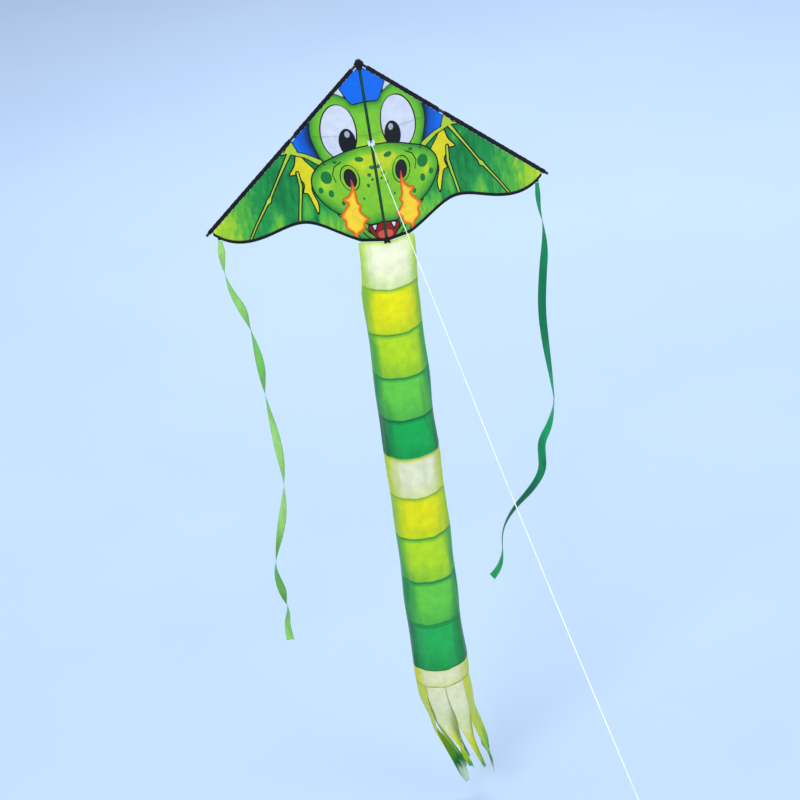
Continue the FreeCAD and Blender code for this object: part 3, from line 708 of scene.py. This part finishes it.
sailInks = [
    ("web", rgb(236, 226, 30)),
    ("sky", "skyTone", [(0.0, rgb(8, 40, 104)), (0.5, rgb(0, 104, 214)), (1.0, rgb(0, 122, 236))]),
    ("horn", rgb(226, 232, 240)),
    ("head", "skinTone", [(0.0, rgb(56, 160, 48)), (0.4, rgb(118, 200, 52)), (0.75, rgb(140, 214, 56)),
                          (1.0, rgb(206, 226, 44))]),
    ("eye", rgb(226, 230, 240)),
    ("pupil", rgb(16, 18, 18)),
    ("glint", rgb(190, 196, 206)),
    ("snout", "skinTone", [(0.0, rgb(52, 158, 52)), (0.4, rgb(112, 196, 52)), (0.75, rgb(146, 214, 52)),
                           (1.0, rgb(214, 228, 40))]),
    ("spots", rgb(24, 138, 60)),
    ("nostril", rgb(34, 30, 40)),
    ("bones", rgb(196, 222, 62)),
    ("lip", rgb(104, 190, 56)),
    ("mouth", rgb(156, 30, 20)),
    ("tongue", rgb(228, 98, 76)),
    ("tooth", rgb(236, 238, 238)),
    ("fire", rgb(226, 78, 22)),
    ("fireMid", rgb(248, 148, 30)),
    ("fireCore", rgb(255, 224, 60)),
    ("ink", rgb(6, 14, 8)),
    # the centre line's colour: seam thread and painted shadow of the spine rod
    ("seam", rgb(8, 62, 44)),
]
wingStops = [(0.0, rgb(6, 134, 66)), (0.26, rgb(30, 164, 78)), (0.5, rgb(96, 196, 70)),
             (0.74, rgb(178, 220, 52)), (1.0, rgb(226, 232, 56))]


def sailColour(material):
    def read(name):
        return addNode(material, "ShaderNodeAttribute", attribute_name=name).outputs["Fac"]

    place = surfacePlace(material)
    streaks = noise(material, surfacePlace(material, (26, 8, 1)), 2.2, 4.0, 0.6, 0.4)
    wash = uneven(material, streaks, 0.16)
    edge = 0.35
    colour = ramp(material, plus(material, read("wingTone"), wash), wingStops)
    for name, *paint in sailInks:
        if name in dragon["fireDepths"]:
            depth = sums(material, "SUBTRACT", read("fire"), dragon["fireDepths"][name])
        else:
            depth = read(name)
        share = ranged(material, depth, -edge, edge)
        if len(paint) == 2:
            softWash = uneven(material, noise(material, place, 16, 4.0, 0.6), 0.1)
            above = ramp(material, plus(material, read(paint[0]), softWash), paint[1])
        else:
            above = paint[0]
        colour = blendColours(material, share, colour, above)
    # painted shadow of the spreader rod behind the cloth: a faint darker line across the wing
    shade = times(material, ranged(material, read("rodShade"), 0, 2.4), 0.22)
    return blendColours(material, shade, colour, rgb(20, 60, 40))


def makeSail(side, name, material):
    node = "sail_" + name
    outline = flatOutline(node, side)
    reaches, drops = outline["edge"]
    slope = math.atan(outline["steep"])

    def flatPlace(across, along):
        out = outline["near"] + (outline["tip"] - outline["near"]) * across ** sail["spread"]
        top = outline["first"] + outline["steep"] * max(out - sail["topOut"], 0)
        foot = float(np.interp(out, reaches, drops))
        return Vector((out, top + (foot - top) * along, 0))

    def cutWindow(shape):
        reach, high, low = sail["window"]
        cuts = (((reach, 0, 0), (1, 0, 0)), ((0, high, 0), (0, 1, 0)), ((0, low, 0), (0, 1, 0)))
        for point, normal in cuts:
            bmesh.ops.bisect_plane(shape, geom=shape.verts[:] + shape.edges[:] + shape.faces[:], dist=1e-7,
                                   plane_co=point, plane_no=normal)
        gone = []
        for face in shape.faces:
            middle = face.calc_center_median()
            if middle.x < reach and high < middle.y < low:
                gone.append(face)
        bmesh.ops.delete(shape, geom=gone, context="FACES")

    shape = clothShape(sail["columns"], sail["rows"], flatPlace, (1, 1), cut=cutWindow)
    layer = shape.loops.layers.uv.active
    for face in shape.faces:
        for loop in face.loops:
            loop[layer].uv = (loop.vert.co.x * side, loop.vert.co.y)
    mesh = meshFrom(shape, "sail" + name.capitalize())
    flat = np.zeros(len(mesh.vertices) * 3)
    mesh.vertices.foreach_get("co", flat)
    flat = flat.reshape(-1, 3)
    for key, depth in paintDragon(flat[:, 0] * 1000, flat[:, 1] * 1000).items():
        mesh.attributes.new(key, "FLOAT", "POINT").data.foreach_set("value", depth.astype(np.float32))
    bent = []
    for out, drop in flat[:, :2]:
        fromEdge = (drop - outline["first"] - outline["steep"] * (out - sail["topOut"])) * math.cos(slope)
        fromFoot = float(np.interp(out, reaches, drops)) - drop
        fromSpreader = math.hypot(abs(drop - sail["spreaderDrop"]), max(out - 0.25, 0))
        swell = (eased(out / 0.13) * eased(fromEdge / 0.09) * eased(fromFoot / 0.08)
                 * eased(fromSpreader / 0.09))
        bent.extend(wingPlace(side, out, sail["faceBack"] + sail["belly"] * swell, sail["noseHeight"] - drop))
    mesh.vertices.foreach_set("co", bent)
    mesh.update()
    faceOutwards(mesh, lambda middle: Vector((0, -1, 0)))
    piece = addPiece("sail" + name.capitalize(), mesh, name + "_wing", material, [node])
    addThickness(piece, sail["thickness"])


printedSail = clothMaterial("printedSail", sailColour, creaseScale=(5, 5, 1), crease=0.8)
for side, name in ((-1, "left"), (1, "right")):
    makeSail(side, name, printedSail)
    print("sail", name, "made")


# black cloth: the sleeves round the leading edge rods, the tape along the foot, the nose patch

blackCloth = {
    "colour": (rgb(5, 5, 7), rgb(20, 21, 24)),
    "stitch": rgb(40, 42, 46),
    "stitchPitch": 0.0032,
    "stitchAt": 0.0105,         # the row of stitches, from the tape's edge
    "threadPitch": 0.0007,
    "edgeRun": (0.610, 0.580),  # how far out and down the leading edge goes
    "sleeveHalf": (0.0070, 0.0033),
    "sleeveRuns": ((0.040, 0.3446), (0.3722, 0.830)),
    "wrinkle": 0.0004,
    "edge": 0.0004,
}


def blackMaterial(name, source):
    # close woven tape; with a UV map it has a row of stitches along it
    material, shader = startMaterial(name)
    place = surfacePlace(material, source=source)
    weave = times(material, *(waveLines(material, place, axis, blackCloth["threadPitch"])
                              for axis in ("X", "DIAGONAL")))
    worn = noise(material, place, 55, 5.0, 0.6)
    colour = ramp(material, worn, [(0.35, blackCloth["colour"][0]), (0.75, blackCloth["colour"][1])])
    height = plus(material, times(material, weave, 0.00006),
                  times(material, noise(material, place, 130, 3.0), 0.0006))
    if source == "UV":
        split = addNode(material, "ShaderNodeSeparateXYZ", {0: place})
        across = sums(material, "ABSOLUTE", sums(material, "SUBTRACT", split.outputs["X"], blackCloth["stitchAt"]))
        dash = ranged(material, waveLines(material, place, "Y", blackCloth["stitchPitch"]), 0.3, 0.4)
        stitch = times(material, ranged(material, across, 0.0005, 0.0003), dash)
        colour = blendColours(material, stitch, colour, blackCloth["stitch"])
        height = plus(material, height, times(material, stitch, 0.0002))
    wireShader(material, shader, colour, ranged(material, worn, 0.3, 0.7, 0.55, 0.75), height, 1.0, 0.8)
    shader.inputs["Sheen Weight"].default_value = 0.05
    shader.inputs["Specular IOR Level"].default_value = 0.2
    return material


blackSleeve = blackMaterial("blackSleeve", "UV")
blackTape = blackMaterial("blackTape", "Object")


def makeSleeve(side, name, part, start, stop):
    lean = math.atan2(*blackCloth["edgeRun"])
    wide, thick = blackCloth["sleeveHalf"]

    def place(around, along):
        run = start + (stop - start) * along
        turn = 2 * math.pi * around
        ends = eased(along / 0.02) * eased((1 - along) / 0.02)
        ripple = blackCloth["wrinkle"] * ends * (math.sin(run * 310 + 3 * math.sin(turn))
                                                  + 0.6 * math.sin(run * 131 + turn * 2))
        roundness = abs(math.sin(turn)) ** 0.8 * math.copysign(1, math.sin(turn))
        inset = wide + (wide - 0.0002 + ripple) * math.cos(turn)
        back = sail["faceBack"] + (thick + ripple * 0.8 - 0.00015) * roundness
        out = run * math.sin(lean) - inset * math.cos(lean)
        drop = run * math.cos(lean) + inset * math.sin(lean)
        return wingPlace(side, out, back, sail["noseHeight"] - drop)

    length = stop - start
    shape = clothShape(28, max(12, round(length / 0.004)), place, (0.036, length), closed=True)
    mesh = meshFrom(shape, "sleeve")
    middle = place(0, 0.5).lerp(place(0.5, 0.5), 0.5)
    line = (place(0, 1) - place(0, 0)).normalized()
    faceOutwards(mesh, lambda here: (here - middle) - line * (here - middle).dot(line))
    label = "edgeSleeve" + part.capitalize() + name.capitalize()
    piece = addPiece(label, mesh, name + "_wing", blackSleeve,
                     ["edge_sleeve_" + part + "_" + name])
    addThickness(piece, 0.0003, -1)


for side, name in ((-1, "left"), (1, "right")):
    for part, (start, stop) in zip(("upper", "lower"), blackCloth["sleeveRuns"]):
        makeSleeve(side, name, part, start, stop)
    addPiece("footTape" + name.capitalize(), tidyCopy("trailing_binding_" + name, blackCloth["edge"]),
             name + "_wing", blackTape, ["trailing_binding_" + name])
    addPiece("streamerTab" + name.capitalize(), tidyCopy("streamer_tab_" + name, 0.0005),
             name + "_wing", blackTape, ["streamer_tab_" + name])
addPiece("nosePatch", tidyCopy("nose_patch", 0.0003), "spine", blackTape, ["nose_patch"])
print("black sleeves and tape made")


# the cloth tubes that hold the spine rod behind the sail

spineCloth = {
    "radius": 0.0043,
    "colour": [(0.3, rgb(20, 84, 52)), (0.7, rgb(40, 118, 66))],
    "seamAt": 0.0068,
}


def seamColour(material):
    place = surfacePlace(material)
    colour = ramp(material, noise(material, place, 40, 4.0), spineCloth["colour"])
    across = addNode(material, "ShaderNodeSeparateXYZ", {0: place}).outputs["X"]
    away = sums(material, "ABSOLUTE", sums(material, "SUBTRACT", across, spineCloth["seamAt"]))
    return blendColours(material, ranged(material, away, 0.0006, 0.0003), colour, rgb(10, 34, 26))


def makeSpineSleeves():
    seamCloth = clothMaterial("seamCloth", seamColour, creaseScale=(30, 6, 1), crease=0.25)
    for part in ("upper", "lower"):
        low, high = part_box("spine_sleeve_" + part)

        def place(around, along):
            turn = 2 * math.pi * around
            height = low.z + (high.z - low.z) * along
            ends = eased(along / 0.02) * eased((1 - along) / 0.02)
            radius = spineCloth["radius"] - 0.00025 * (1 + math.sin(height * 240 + 2 * turn)) * ends
            return Vector((radius * math.cos(turn), radius * math.sin(turn), height))

        length = high.z - low.z
        mesh = meshFrom(clothShape(24, round(length / 0.004), place, (0.027, length), closed=True), "sleeve")
        faceOutwards(mesh, lambda here: Vector((here.x, here.y, 0)))
        piece = addPiece("spineSleeve" + part.capitalize(), mesh, "spine", seamCloth,
                         ["spine_sleeve_" + part])
        addThickness(piece, 0.0003, -1)
    addPiece("tailTab", tidyCopy("tail_tab", 0.0005), "spine", blackTape, ["tail_tab"])


makeSpineSleeves()
print("spine sleeves made")


# the tail: one printed tube in ten bands

tail = {
    "top": -0.3405,
    "neck": -0.520,
    "fold": -1.1495,
    "foot": -1.948,
    "radius": 0.0912,
    "centres": [(0.0, 0.0), (-0.014, 0.038), (-0.030, -0.001), (-0.052, -0.050)],
    "mouthFace": -0.0071,    # the front rim lies just before the sail's chin and bends with it
    "mouthBend": 0.40,
    "mouthBack": 0.105,
    "backCut": 0.060,
    "columns": 104,
    "rows": 208,
    "ripple": 0.0016,
    # the ten bands and the uncut ring under them: where each ends, as a share of the tube's length
    "bandEnds": [0, 0.092, 0.189, 0.285, 0.378, 0.466, 0.555, 0.649, 0.750, 0.849, 0.959, 1],
    # from the top: middle colour, then the greener one along the sides and borders
    "bands": [((252, 252, 226), (206, 236, 96)), ((255, 250, 4), (168, 220, 52)),
              ((210, 246, 40), (84, 196, 66)), ((124, 232, 84), (14, 168, 80)),
              ((16, 200, 94), (0, 132, 70)), ((252, 252, 222), (226, 238, 52)),
              ((255, 250, 4), (190, 228, 44)), ((210, 246, 40), (80, 196, 70)),
              ((124, 232, 84), (14, 168, 80)), ((42, 204, 98), (0, 132, 72)),
              ((252, 250, 210), (232, 238, 60))],
}


def tailPlace(around, along):
    # the tube's place at a share round it, from the back seam, and a share down it
    turn = 2 * math.pi * around + math.pi
    side, front = math.sin(turn), math.cos(turn)
    level = tail["top"] + (tail["foot"] - tail["top"]) * along
    levels = (tail["foot"], tail["fold"], tail["neck"], tail["top"])
    middleX, middleY = (np.interp(level, levels, [centre[axis] for centre in reversed(tail["centres"])])
                        for axis in (0, 1))
    radius = tail["radius"]
    mouth = min(max((level - tail["neck"]) / (tail["top"] - tail["neck"]), 0), 1)
    circle = Vector((middleX + radius * side, middleY - radius * front, level))
    sideBack = tail["mouthFace"] + tail["mouthBend"] * tail["radius"]
    lensBack = tail["mouthFace"] + tail["mouthBend"] * tail["radius"] * abs(side)
    if front < 0:
        lensBack = sideBack - (tail["mouthBack"] - sideBack) * front
    lens = Vector((radius * side, lensBack, level))
    here = circle.lerp(lens, mouth)
    if mouth > 0:
        rim = tail["top"] - tail["backCut"] * min(max((lens.y - 0.025) / 0.08, 0), 1)
        here.z = tail["neck"] + (rim - tail["neck"]) * mouth
    free = eased((1 - mouth) / 0.9)
    wave = (math.sin(5 * turn + level * 9) + 0.6 * math.sin(9 * turn - level * 17)
            + math.sin(2 * turn + level * 24) + 0.4 * math.sin(14 * turn + level * 7))
    swing = tail["ripple"] * wave * free
    here.x += side * swing - 0.6 * tail["ripple"] * free
    here.y -= front * swing
    return here


def tailColour(material):
    split = addNode(material, "ShaderNodeSeparateXYZ", {0: surfacePlace(material)})
    around = sums(material, "DIVIDE", split.outputs["X"], 2 * math.pi * tail["radius"])
    length = tail["top"] - tail["foot"]
    down = sums(material, "DIVIDE", split.outputs["Y"], length)
    ends = tail["bandEnds"]
    band = ranged(material, down, ends[0], ends[1])
    for start, end in zip(ends[1:], ends[2:]):
        band = plus(material, band, ranged(material, down, start, end))
    steps = 17               # a ramp is read at 255 steps, so each band's colour starts at a whole one
    share = sums(material, "DIVIDE", band, steps)
    middle, sides = (
        ramp(material, share, [(max(number / steps - 0.002, 0), rgb(*colours[which]))
                               for number, colours in enumerate(tail["bands"])], hard=True)
        for which in (0, 1))
    # the colour is paler down the middle of the front and the back, and greener at the sides
    facing = sums(material, "ABSOLUTE", sums(material, "SINE", times(material, around, 2 * math.pi)))
    smear = uneven(material, noise(material, surfacePlace(material, (14, 3, 1)), 1.5, 4.0, 0.6), 0.14)
    greener = ranged(material, plus(material, facing, smear), 0.58, 0.94)
    colour = blendColours(material, greener, middle, sides)
    within = sums(material, "FRACT", band)
    lower = times(material, ranged(material, plus(material, within, smear), 0.55, 1.0), 0.42)
    colour = blendColours(material, lower, colour, sides)
    colour = blendColours(material, ranged(material, within, 0.10, 0.0), colour, sides)
    # each band is hemmed to the next: a narrow darker line
    shifted = sums(material, "FRACT", plus(material, band, 0.5))
    fromHem = sums(material, "ABSOLUTE", sums(material, "SUBTRACT", shifted, 0.5))
    hem = ranged(material, times(material, fromHem, length * ends[1]), 0.0034, 0.0026)
    inside = times(material, ranged(material, band, 0.2, 0.21), ranged(material, band, 10.5, 10.49))
    hem = times(material, times(material, hem, inside), 0.6)
    return blendColours(material, hem, colour, blendColours(material, 0.4, sides, rgb(0, 104, 52)))


def makeTail():
    length = tail["top"] - tail["foot"]
    material = clothMaterial("tailCloth", tailColour, through=0.4, creaseScale=(11, 3.2, 1), crease=1.5)
    shape = clothShape(tail["columns"], tail["rows"], tailPlace, (2 * math.pi * tail["radius"], length),
                       closed=True)
    mesh = meshFrom(shape, "tailTube")
    faceOutwards(mesh, lambda here: here - Vector((-0.024, 0.0, here.z)))
    tube = addPiece("tailTube", mesh, None, material, ["tail_tube_upper", "tail_tube_lower"])
    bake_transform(tube)
    addThickness(tube, 0.0005, -1)


makeTail()
print("tail tube made")


# the tube's foot is cut into eight strips

fringe = {
    "lengths": [0.372, 0.418, 0.352, 0.436, 0.388, 0.404, 0.446, 0.364],
    "top": -1.9485,
    "middle": (-0.0532, -0.050),
    "radii": (0.0908, 0.077, 0.052),
    "widths": (0.071, 0.058, 0.046),
    "drift": (0.0, 0.020, 0.072),
    "twists": [62, 24, -60, 130, -110, 70, -58, 150],   # degrees over each strip's length
    "curl": 0.007,
    "sideStrips": (1, 2, 5, 6),
    "columns": 12,
    "rows": 64,
    "colours": [(0.0, rgb(252, 250, 210)), (0.2, rgb(250, 250, 214)),
                (0.44, rgb(244, 246, 186)), (0.62, rgb(232, 236, 50)), (0.8, rgb(196, 222, 44)),
                (0.9, rgb(96, 194, 74)), (1.0, rgb(226, 240, 222))],
    "sideColours": [(0.0, rgb(232, 238, 60)), (0.3, rgb(222, 234, 104)), (0.58, rgb(212, 228, 40)),
                    (0.78, rgb(150, 210, 54)), (0.9, rgb(20, 150, 74)), (1.0, rgb(220, 238, 214))],
}


def outwardAt(angle):
    return Vector((math.sin(angle), -math.cos(angle), 0))


def fringePlace(number):
    angle = (number + 0.5) * math.pi / 4
    outward = outwardAt(angle)
    across0 = Vector((math.cos(angle), math.sin(angle), 0))
    length = fringe["lengths"][number]
    marks = (0, 0.45, 1)
    sway = 0.6 + 0.4 * math.sin(number * 2.1)

    def place(across, along):
        radius, width, drift = (float(np.interp(along, marks, fringe[key]))
                                for key in ("radii", "widths", "drift"))
        width *= 1 - 0.5 * eased((along - 0.9) / 0.1)
        twist = math.radians(fringe["twists"][number]) * eased((along - 0.12) / 0.88)
        turn = Quaternion((0, 0, 1), twist)
        flatAcross = turn @ across0
        share = across - 0.5
        gather = fringe["curl"] * (4 * share * share) * eased(along / 0.4)
        centre = Vector((*fringe["middle"], fringe["top"] - length * along))
        wander = 0.008 * math.sin(along * 7 + number * 1.9) * eased(along / 0.5) * sway
        hung = (centre + Vector((drift, 0, 0)) + outward * (radius + wander)
                + flatAcross * (share * width) - (turn @ outward) * (gather - fringe["curl"] / 2))
        arc = angle + share * math.pi / 4 * 0.985
        cutEdge = centre + outwardAt(arc) * fringe["radii"][0]
        return cutEdge.lerp(hung, eased(along / 0.35))
    return place


def makeFringe():
    pale, green = (
        clothMaterial(name, alongColour(0.40, (30, 6, 1), 1.3, 3.0, 0.05, fringe[stops]), 0.38, (16, 5, 1), 0.7)
        for name, stops in (("fringeCloth", "colours"), ("fringeClothSide", "sideColours")))
    for number, length in enumerate(fringe["lengths"]):
        shape = clothShape(fringe["columns"], fringe["rows"], fringePlace(number),
                           (fringe["widths"][0], length))
        mesh = meshFrom(shape, "fringe")
        outward = outwardAt((number + 0.5) * math.pi / 4)
        faceOutwards(mesh, lambda here: outward)
        cloth = green if number in fringe["sideStrips"] else pale
        strip = addPiece(f"fringeStrip{number + 1}", mesh, "tail_lower", cloth,
                         [f"fringe_strip_{number + 1}"])
        addThickness(strip, 0.0005)


makeFringe()
print("fringe made")


# a streamer from each wing tip, turning over as it falls

streamers = {
    "width": 0.027,
    "columns": 6,
    "rows": 380,
    "cup": 0.0022,
    "gather": 0.55,          # the top's share of the full width, where it is sewn to its tab
    "gatherEnd": 0.035,      # where it has its full width, as a share of its length
    "cupWaves": 40,
    "left": {
        "root": (-0.5243, 0.2079, -0.3250),
        "route": [(0, 0), (-7, -76), (0, -176), (33, -262), (49, -366), (55, -476), (51, -596), (61, -736),
                  (64, -896), (47, -996), (15, -1106), (-20, -1216), (-25, -1276), (-11, -1366), (-5, -1416),
                  (-23, -1476), (-20, -1536)],
        "turns": [(0, -22), (0.075, 90), (0.15, 168), (0.215, 270), (0.30, 356), (0.375, 450), (0.5, 538),
                  (0.605, 630), (0.70, 716), (0.80, 810), (0.86, 896), (0.905, 990), (1, 1070)],
        "colours": [(0.0, rgb(186, 232, 140)), (0.3, rgb(150, 216, 112)), (0.6, rgb(196, 236, 146)),
                    (0.85, rgb(124, 196, 92)), (1.0, rgb(176, 228, 128))],
    },
    "right": {
        "root": (0.5243, 0.2079, -0.3250),
        "route": [(0, 0), (-5, -76), (3, -146), (-1, -226), (-23, -336), (-41, -456), (-43, -576), (-39, -716),
                  (-39, -806), (-65, -886), (-103, -946), (-107, -996), (-111, -1056), (-153, -1116),
                  (-223, -1176), (-268, -1236), (-287, -1296), (-289, -1356), (-311, -1411), (-338, -1436)],
        "turns": [(0, 22), (0.095, 88), (0.18, 150), (0.36, 196), (0.545, 270), (0.64, 346), (0.76, 372),
                  (0.93, 450), (1, 492)],
        "colours": [(0.0, rgb(22, 176, 112)), (0.3, rgb(10, 138, 92)), (0.55, rgb(34, 190, 122)),
                    (0.8, rgb(10, 126, 86)), (1.0, rgb(58, 206, 132))],
    },
}


def makeStreamer(name):
    facts = streamers[name]
    root = Vector(facts["root"])
    points = [root + Vector((x / 1000, 0, z / 1000)) for x, z in facts["route"]]
    at, length = alongRoute(smoothRoute(points, "ribbonRoute"))
    shares, turns = zip(*facts["turns"])
    places = {}

    def place(across, along):
        key = round(along, 5)
        if key not in places:
            here, ahead = at(along)
            side = (Vector((1, 0, 0)) - ahead * ahead.x).normalized()
            angle = float(np.interp(along, shares, turns))
            turn = Quaternion(-ahead, math.radians(angle))
            places[key] = (here, turn @ side, turn @ side.cross(ahead))
        here, side, face = places[key]
        share = across - 0.5
        sag = streamers["cup"] * (1 - 4 * share * share) * math.sin(along * streamers["cupWaves"])
        gathered = streamers["gather"] + (1 - streamers["gather"]) * eased(along / streamers["gatherEnd"])
        return here + side * share * streamers["width"] * gathered + face * sag

    colour = alongColour(length, (20, 5, 1), 1.6, 4.0, 0.06, facts["colours"])
    material = clothMaterial("streamer" + name.capitalize(), colour, 0.42, (22, 6, 1), 0.5)
    shape = clothShape(streamers["columns"], streamers["rows"], place, (streamers["width"], length))
    mesh = meshFrom(shape, "streamer")
    ribbon = addPiece("streamer" + name.capitalize(), mesh, name + "_streamer", material,
                      ["streamer_" + name])
    addThickness(ribbon, 0.0004)


for name in ("left", "right"):
    makeStreamer(name)
print("streamers made")


# finishes for the rods, caps, fittings and sockets, which keep their CAD shapes

hardParts = {
    "fibreglass": {"nodes": ("spine_rod", "edge_rod", "spreader_rod"),
                   "dark": rgb(14, 15, 17), "light": rgb(38, 40, 44), "rough": (0.22, 0.4),
                   "grain": (900, 900, 14), "height": 0.00006},
    "blackVinyl": {"nodes": ("spine_end_cap", "nose_cap", "wingtip_cap", "edge_rod_cap", "edge_fitting"),
                   "dark": rgb(8, 8, 9), "light": rgb(26, 27, 30), "rough": (0.38, 0.6),
                   "grain": (420, 420, 420), "height": 0.00008},
    "mouldedSocket": {"nodes": ("spine_stop_upper", "spine_stop_lower", "spreader_socket"),
                      "dark": rgb(20, 21, 24), "light": rgb(46, 48, 54), "rough": (0.3, 0.5),
                      "grain": (700, 700, 700), "height": 0.00004},
}


def hardMaterial(name, facts):
    material, shader = startMaterial(name)
    grain = noise(material, surfacePlace(material, facts["grain"], "Object"), 1.0, 3.0, 0.6)
    scuffs = noise(material, surfacePlace(material, source="Object"), 140, 6.0, 0.7, 0.8)
    # lighter along sharp convex edges; with the scuff noise this sets how light the colour is
    edgeLighter = ranged(material, addNode(material, "ShaderNodeNewGeometry").outputs["Pointiness"], 0.5, 0.62)
    worn = plus(material, ranged(material, scuffs, 0.45, 0.75, 0, 0.7), times(material, edgeLighter, 0.5))
    colour = ramp(material, worn, [(0.1, facts["dark"]), (0.9, facts["light"])])
    rough = ranged(material, scuffs, 0.3, 0.7, *facts["rough"])
    wireShader(material, shader, colour, rough, grain, facts["height"], 0.7)
    return material


def finishHardParts():
    for name, facts in hardParts.items():
        material = hardMaterial(name, facts)
        for node, part in nodes.items():
            if node.startswith(facts["nodes"]) and not part.hide_render:
                for slot in part.material_slots:
                    slot.material = material


finishHardParts()
print("rods and fittings finished")


# the stage: pale floor, large soft lights

stage = {
    "floor": (rgb(166, 186, 212), rgb(170, 190, 215)),
    "floorHeight": -2.46,
    "sky": (0.80, 0.88, 1.0, 1),
    "skyStrength": 0.82,
    "lights": [   # place, size, power
        ((-4.5, -7.0, 6.5), 5.0, 620),
        ((6.0, -5.0, 2.0), 5.0, 200),
        ((1.5, 6.5, 5.0), 5.0, 560),
    ],
}


def makeStage():
    material, shader = startMaterial("paleFloor")
    colour = ramp(material, noise(material, surfacePlace(material, source="Object"), 0.6, 3.0),
                  [(0.3, stage["floor"][0]), (0.7, stage["floor"][1])])
    material.node_tree.links.new(colour, shader.inputs["Base Color"])
    shader.inputs["Roughness"].default_value = 0.9
    shape = bmesh.new()
    bmesh.ops.create_grid(shape, x_segments=2, y_segments=2, size=45)
    bmesh.ops.translate(shape, verts=shape.verts, vec=(0, 12, stage["floorHeight"]))
    floor = bpy.data.objects.new("floor", meshFrom(shape, "floor"))
    floor.data.materials.append(material)
    bpy.context.scene.collection.objects.link(floor)
    for number, (place, size, power) in enumerate(stage["lights"]):
        lamp = bpy.data.lights.new(f"softbox{number + 1}", "AREA")
        lamp.energy = power
        lamp.size = size
        holder = bpy.data.objects.new(lamp.name, lamp)
        bpy.context.scene.collection.objects.link(holder)
        holder.location = place
        aim = Vector((0, 0, -0.7)) - Vector(place)
        holder.rotation_euler = aim.to_track_quat("-Z", "Y").to_euler()
    world = bpy.data.worlds.new("studio")
    world.use_nodes = True
    ground = world.node_tree.nodes["Background"]
    ground.inputs["Color"].default_value = stage["sky"]
    ground.inputs["Strength"].default_value = stage["skyStrength"]
    bpy.context.scene.world = world
    bpy.context.scene.view_settings.view_transform = "Standard"


makeStage()
print("stage and lights made")
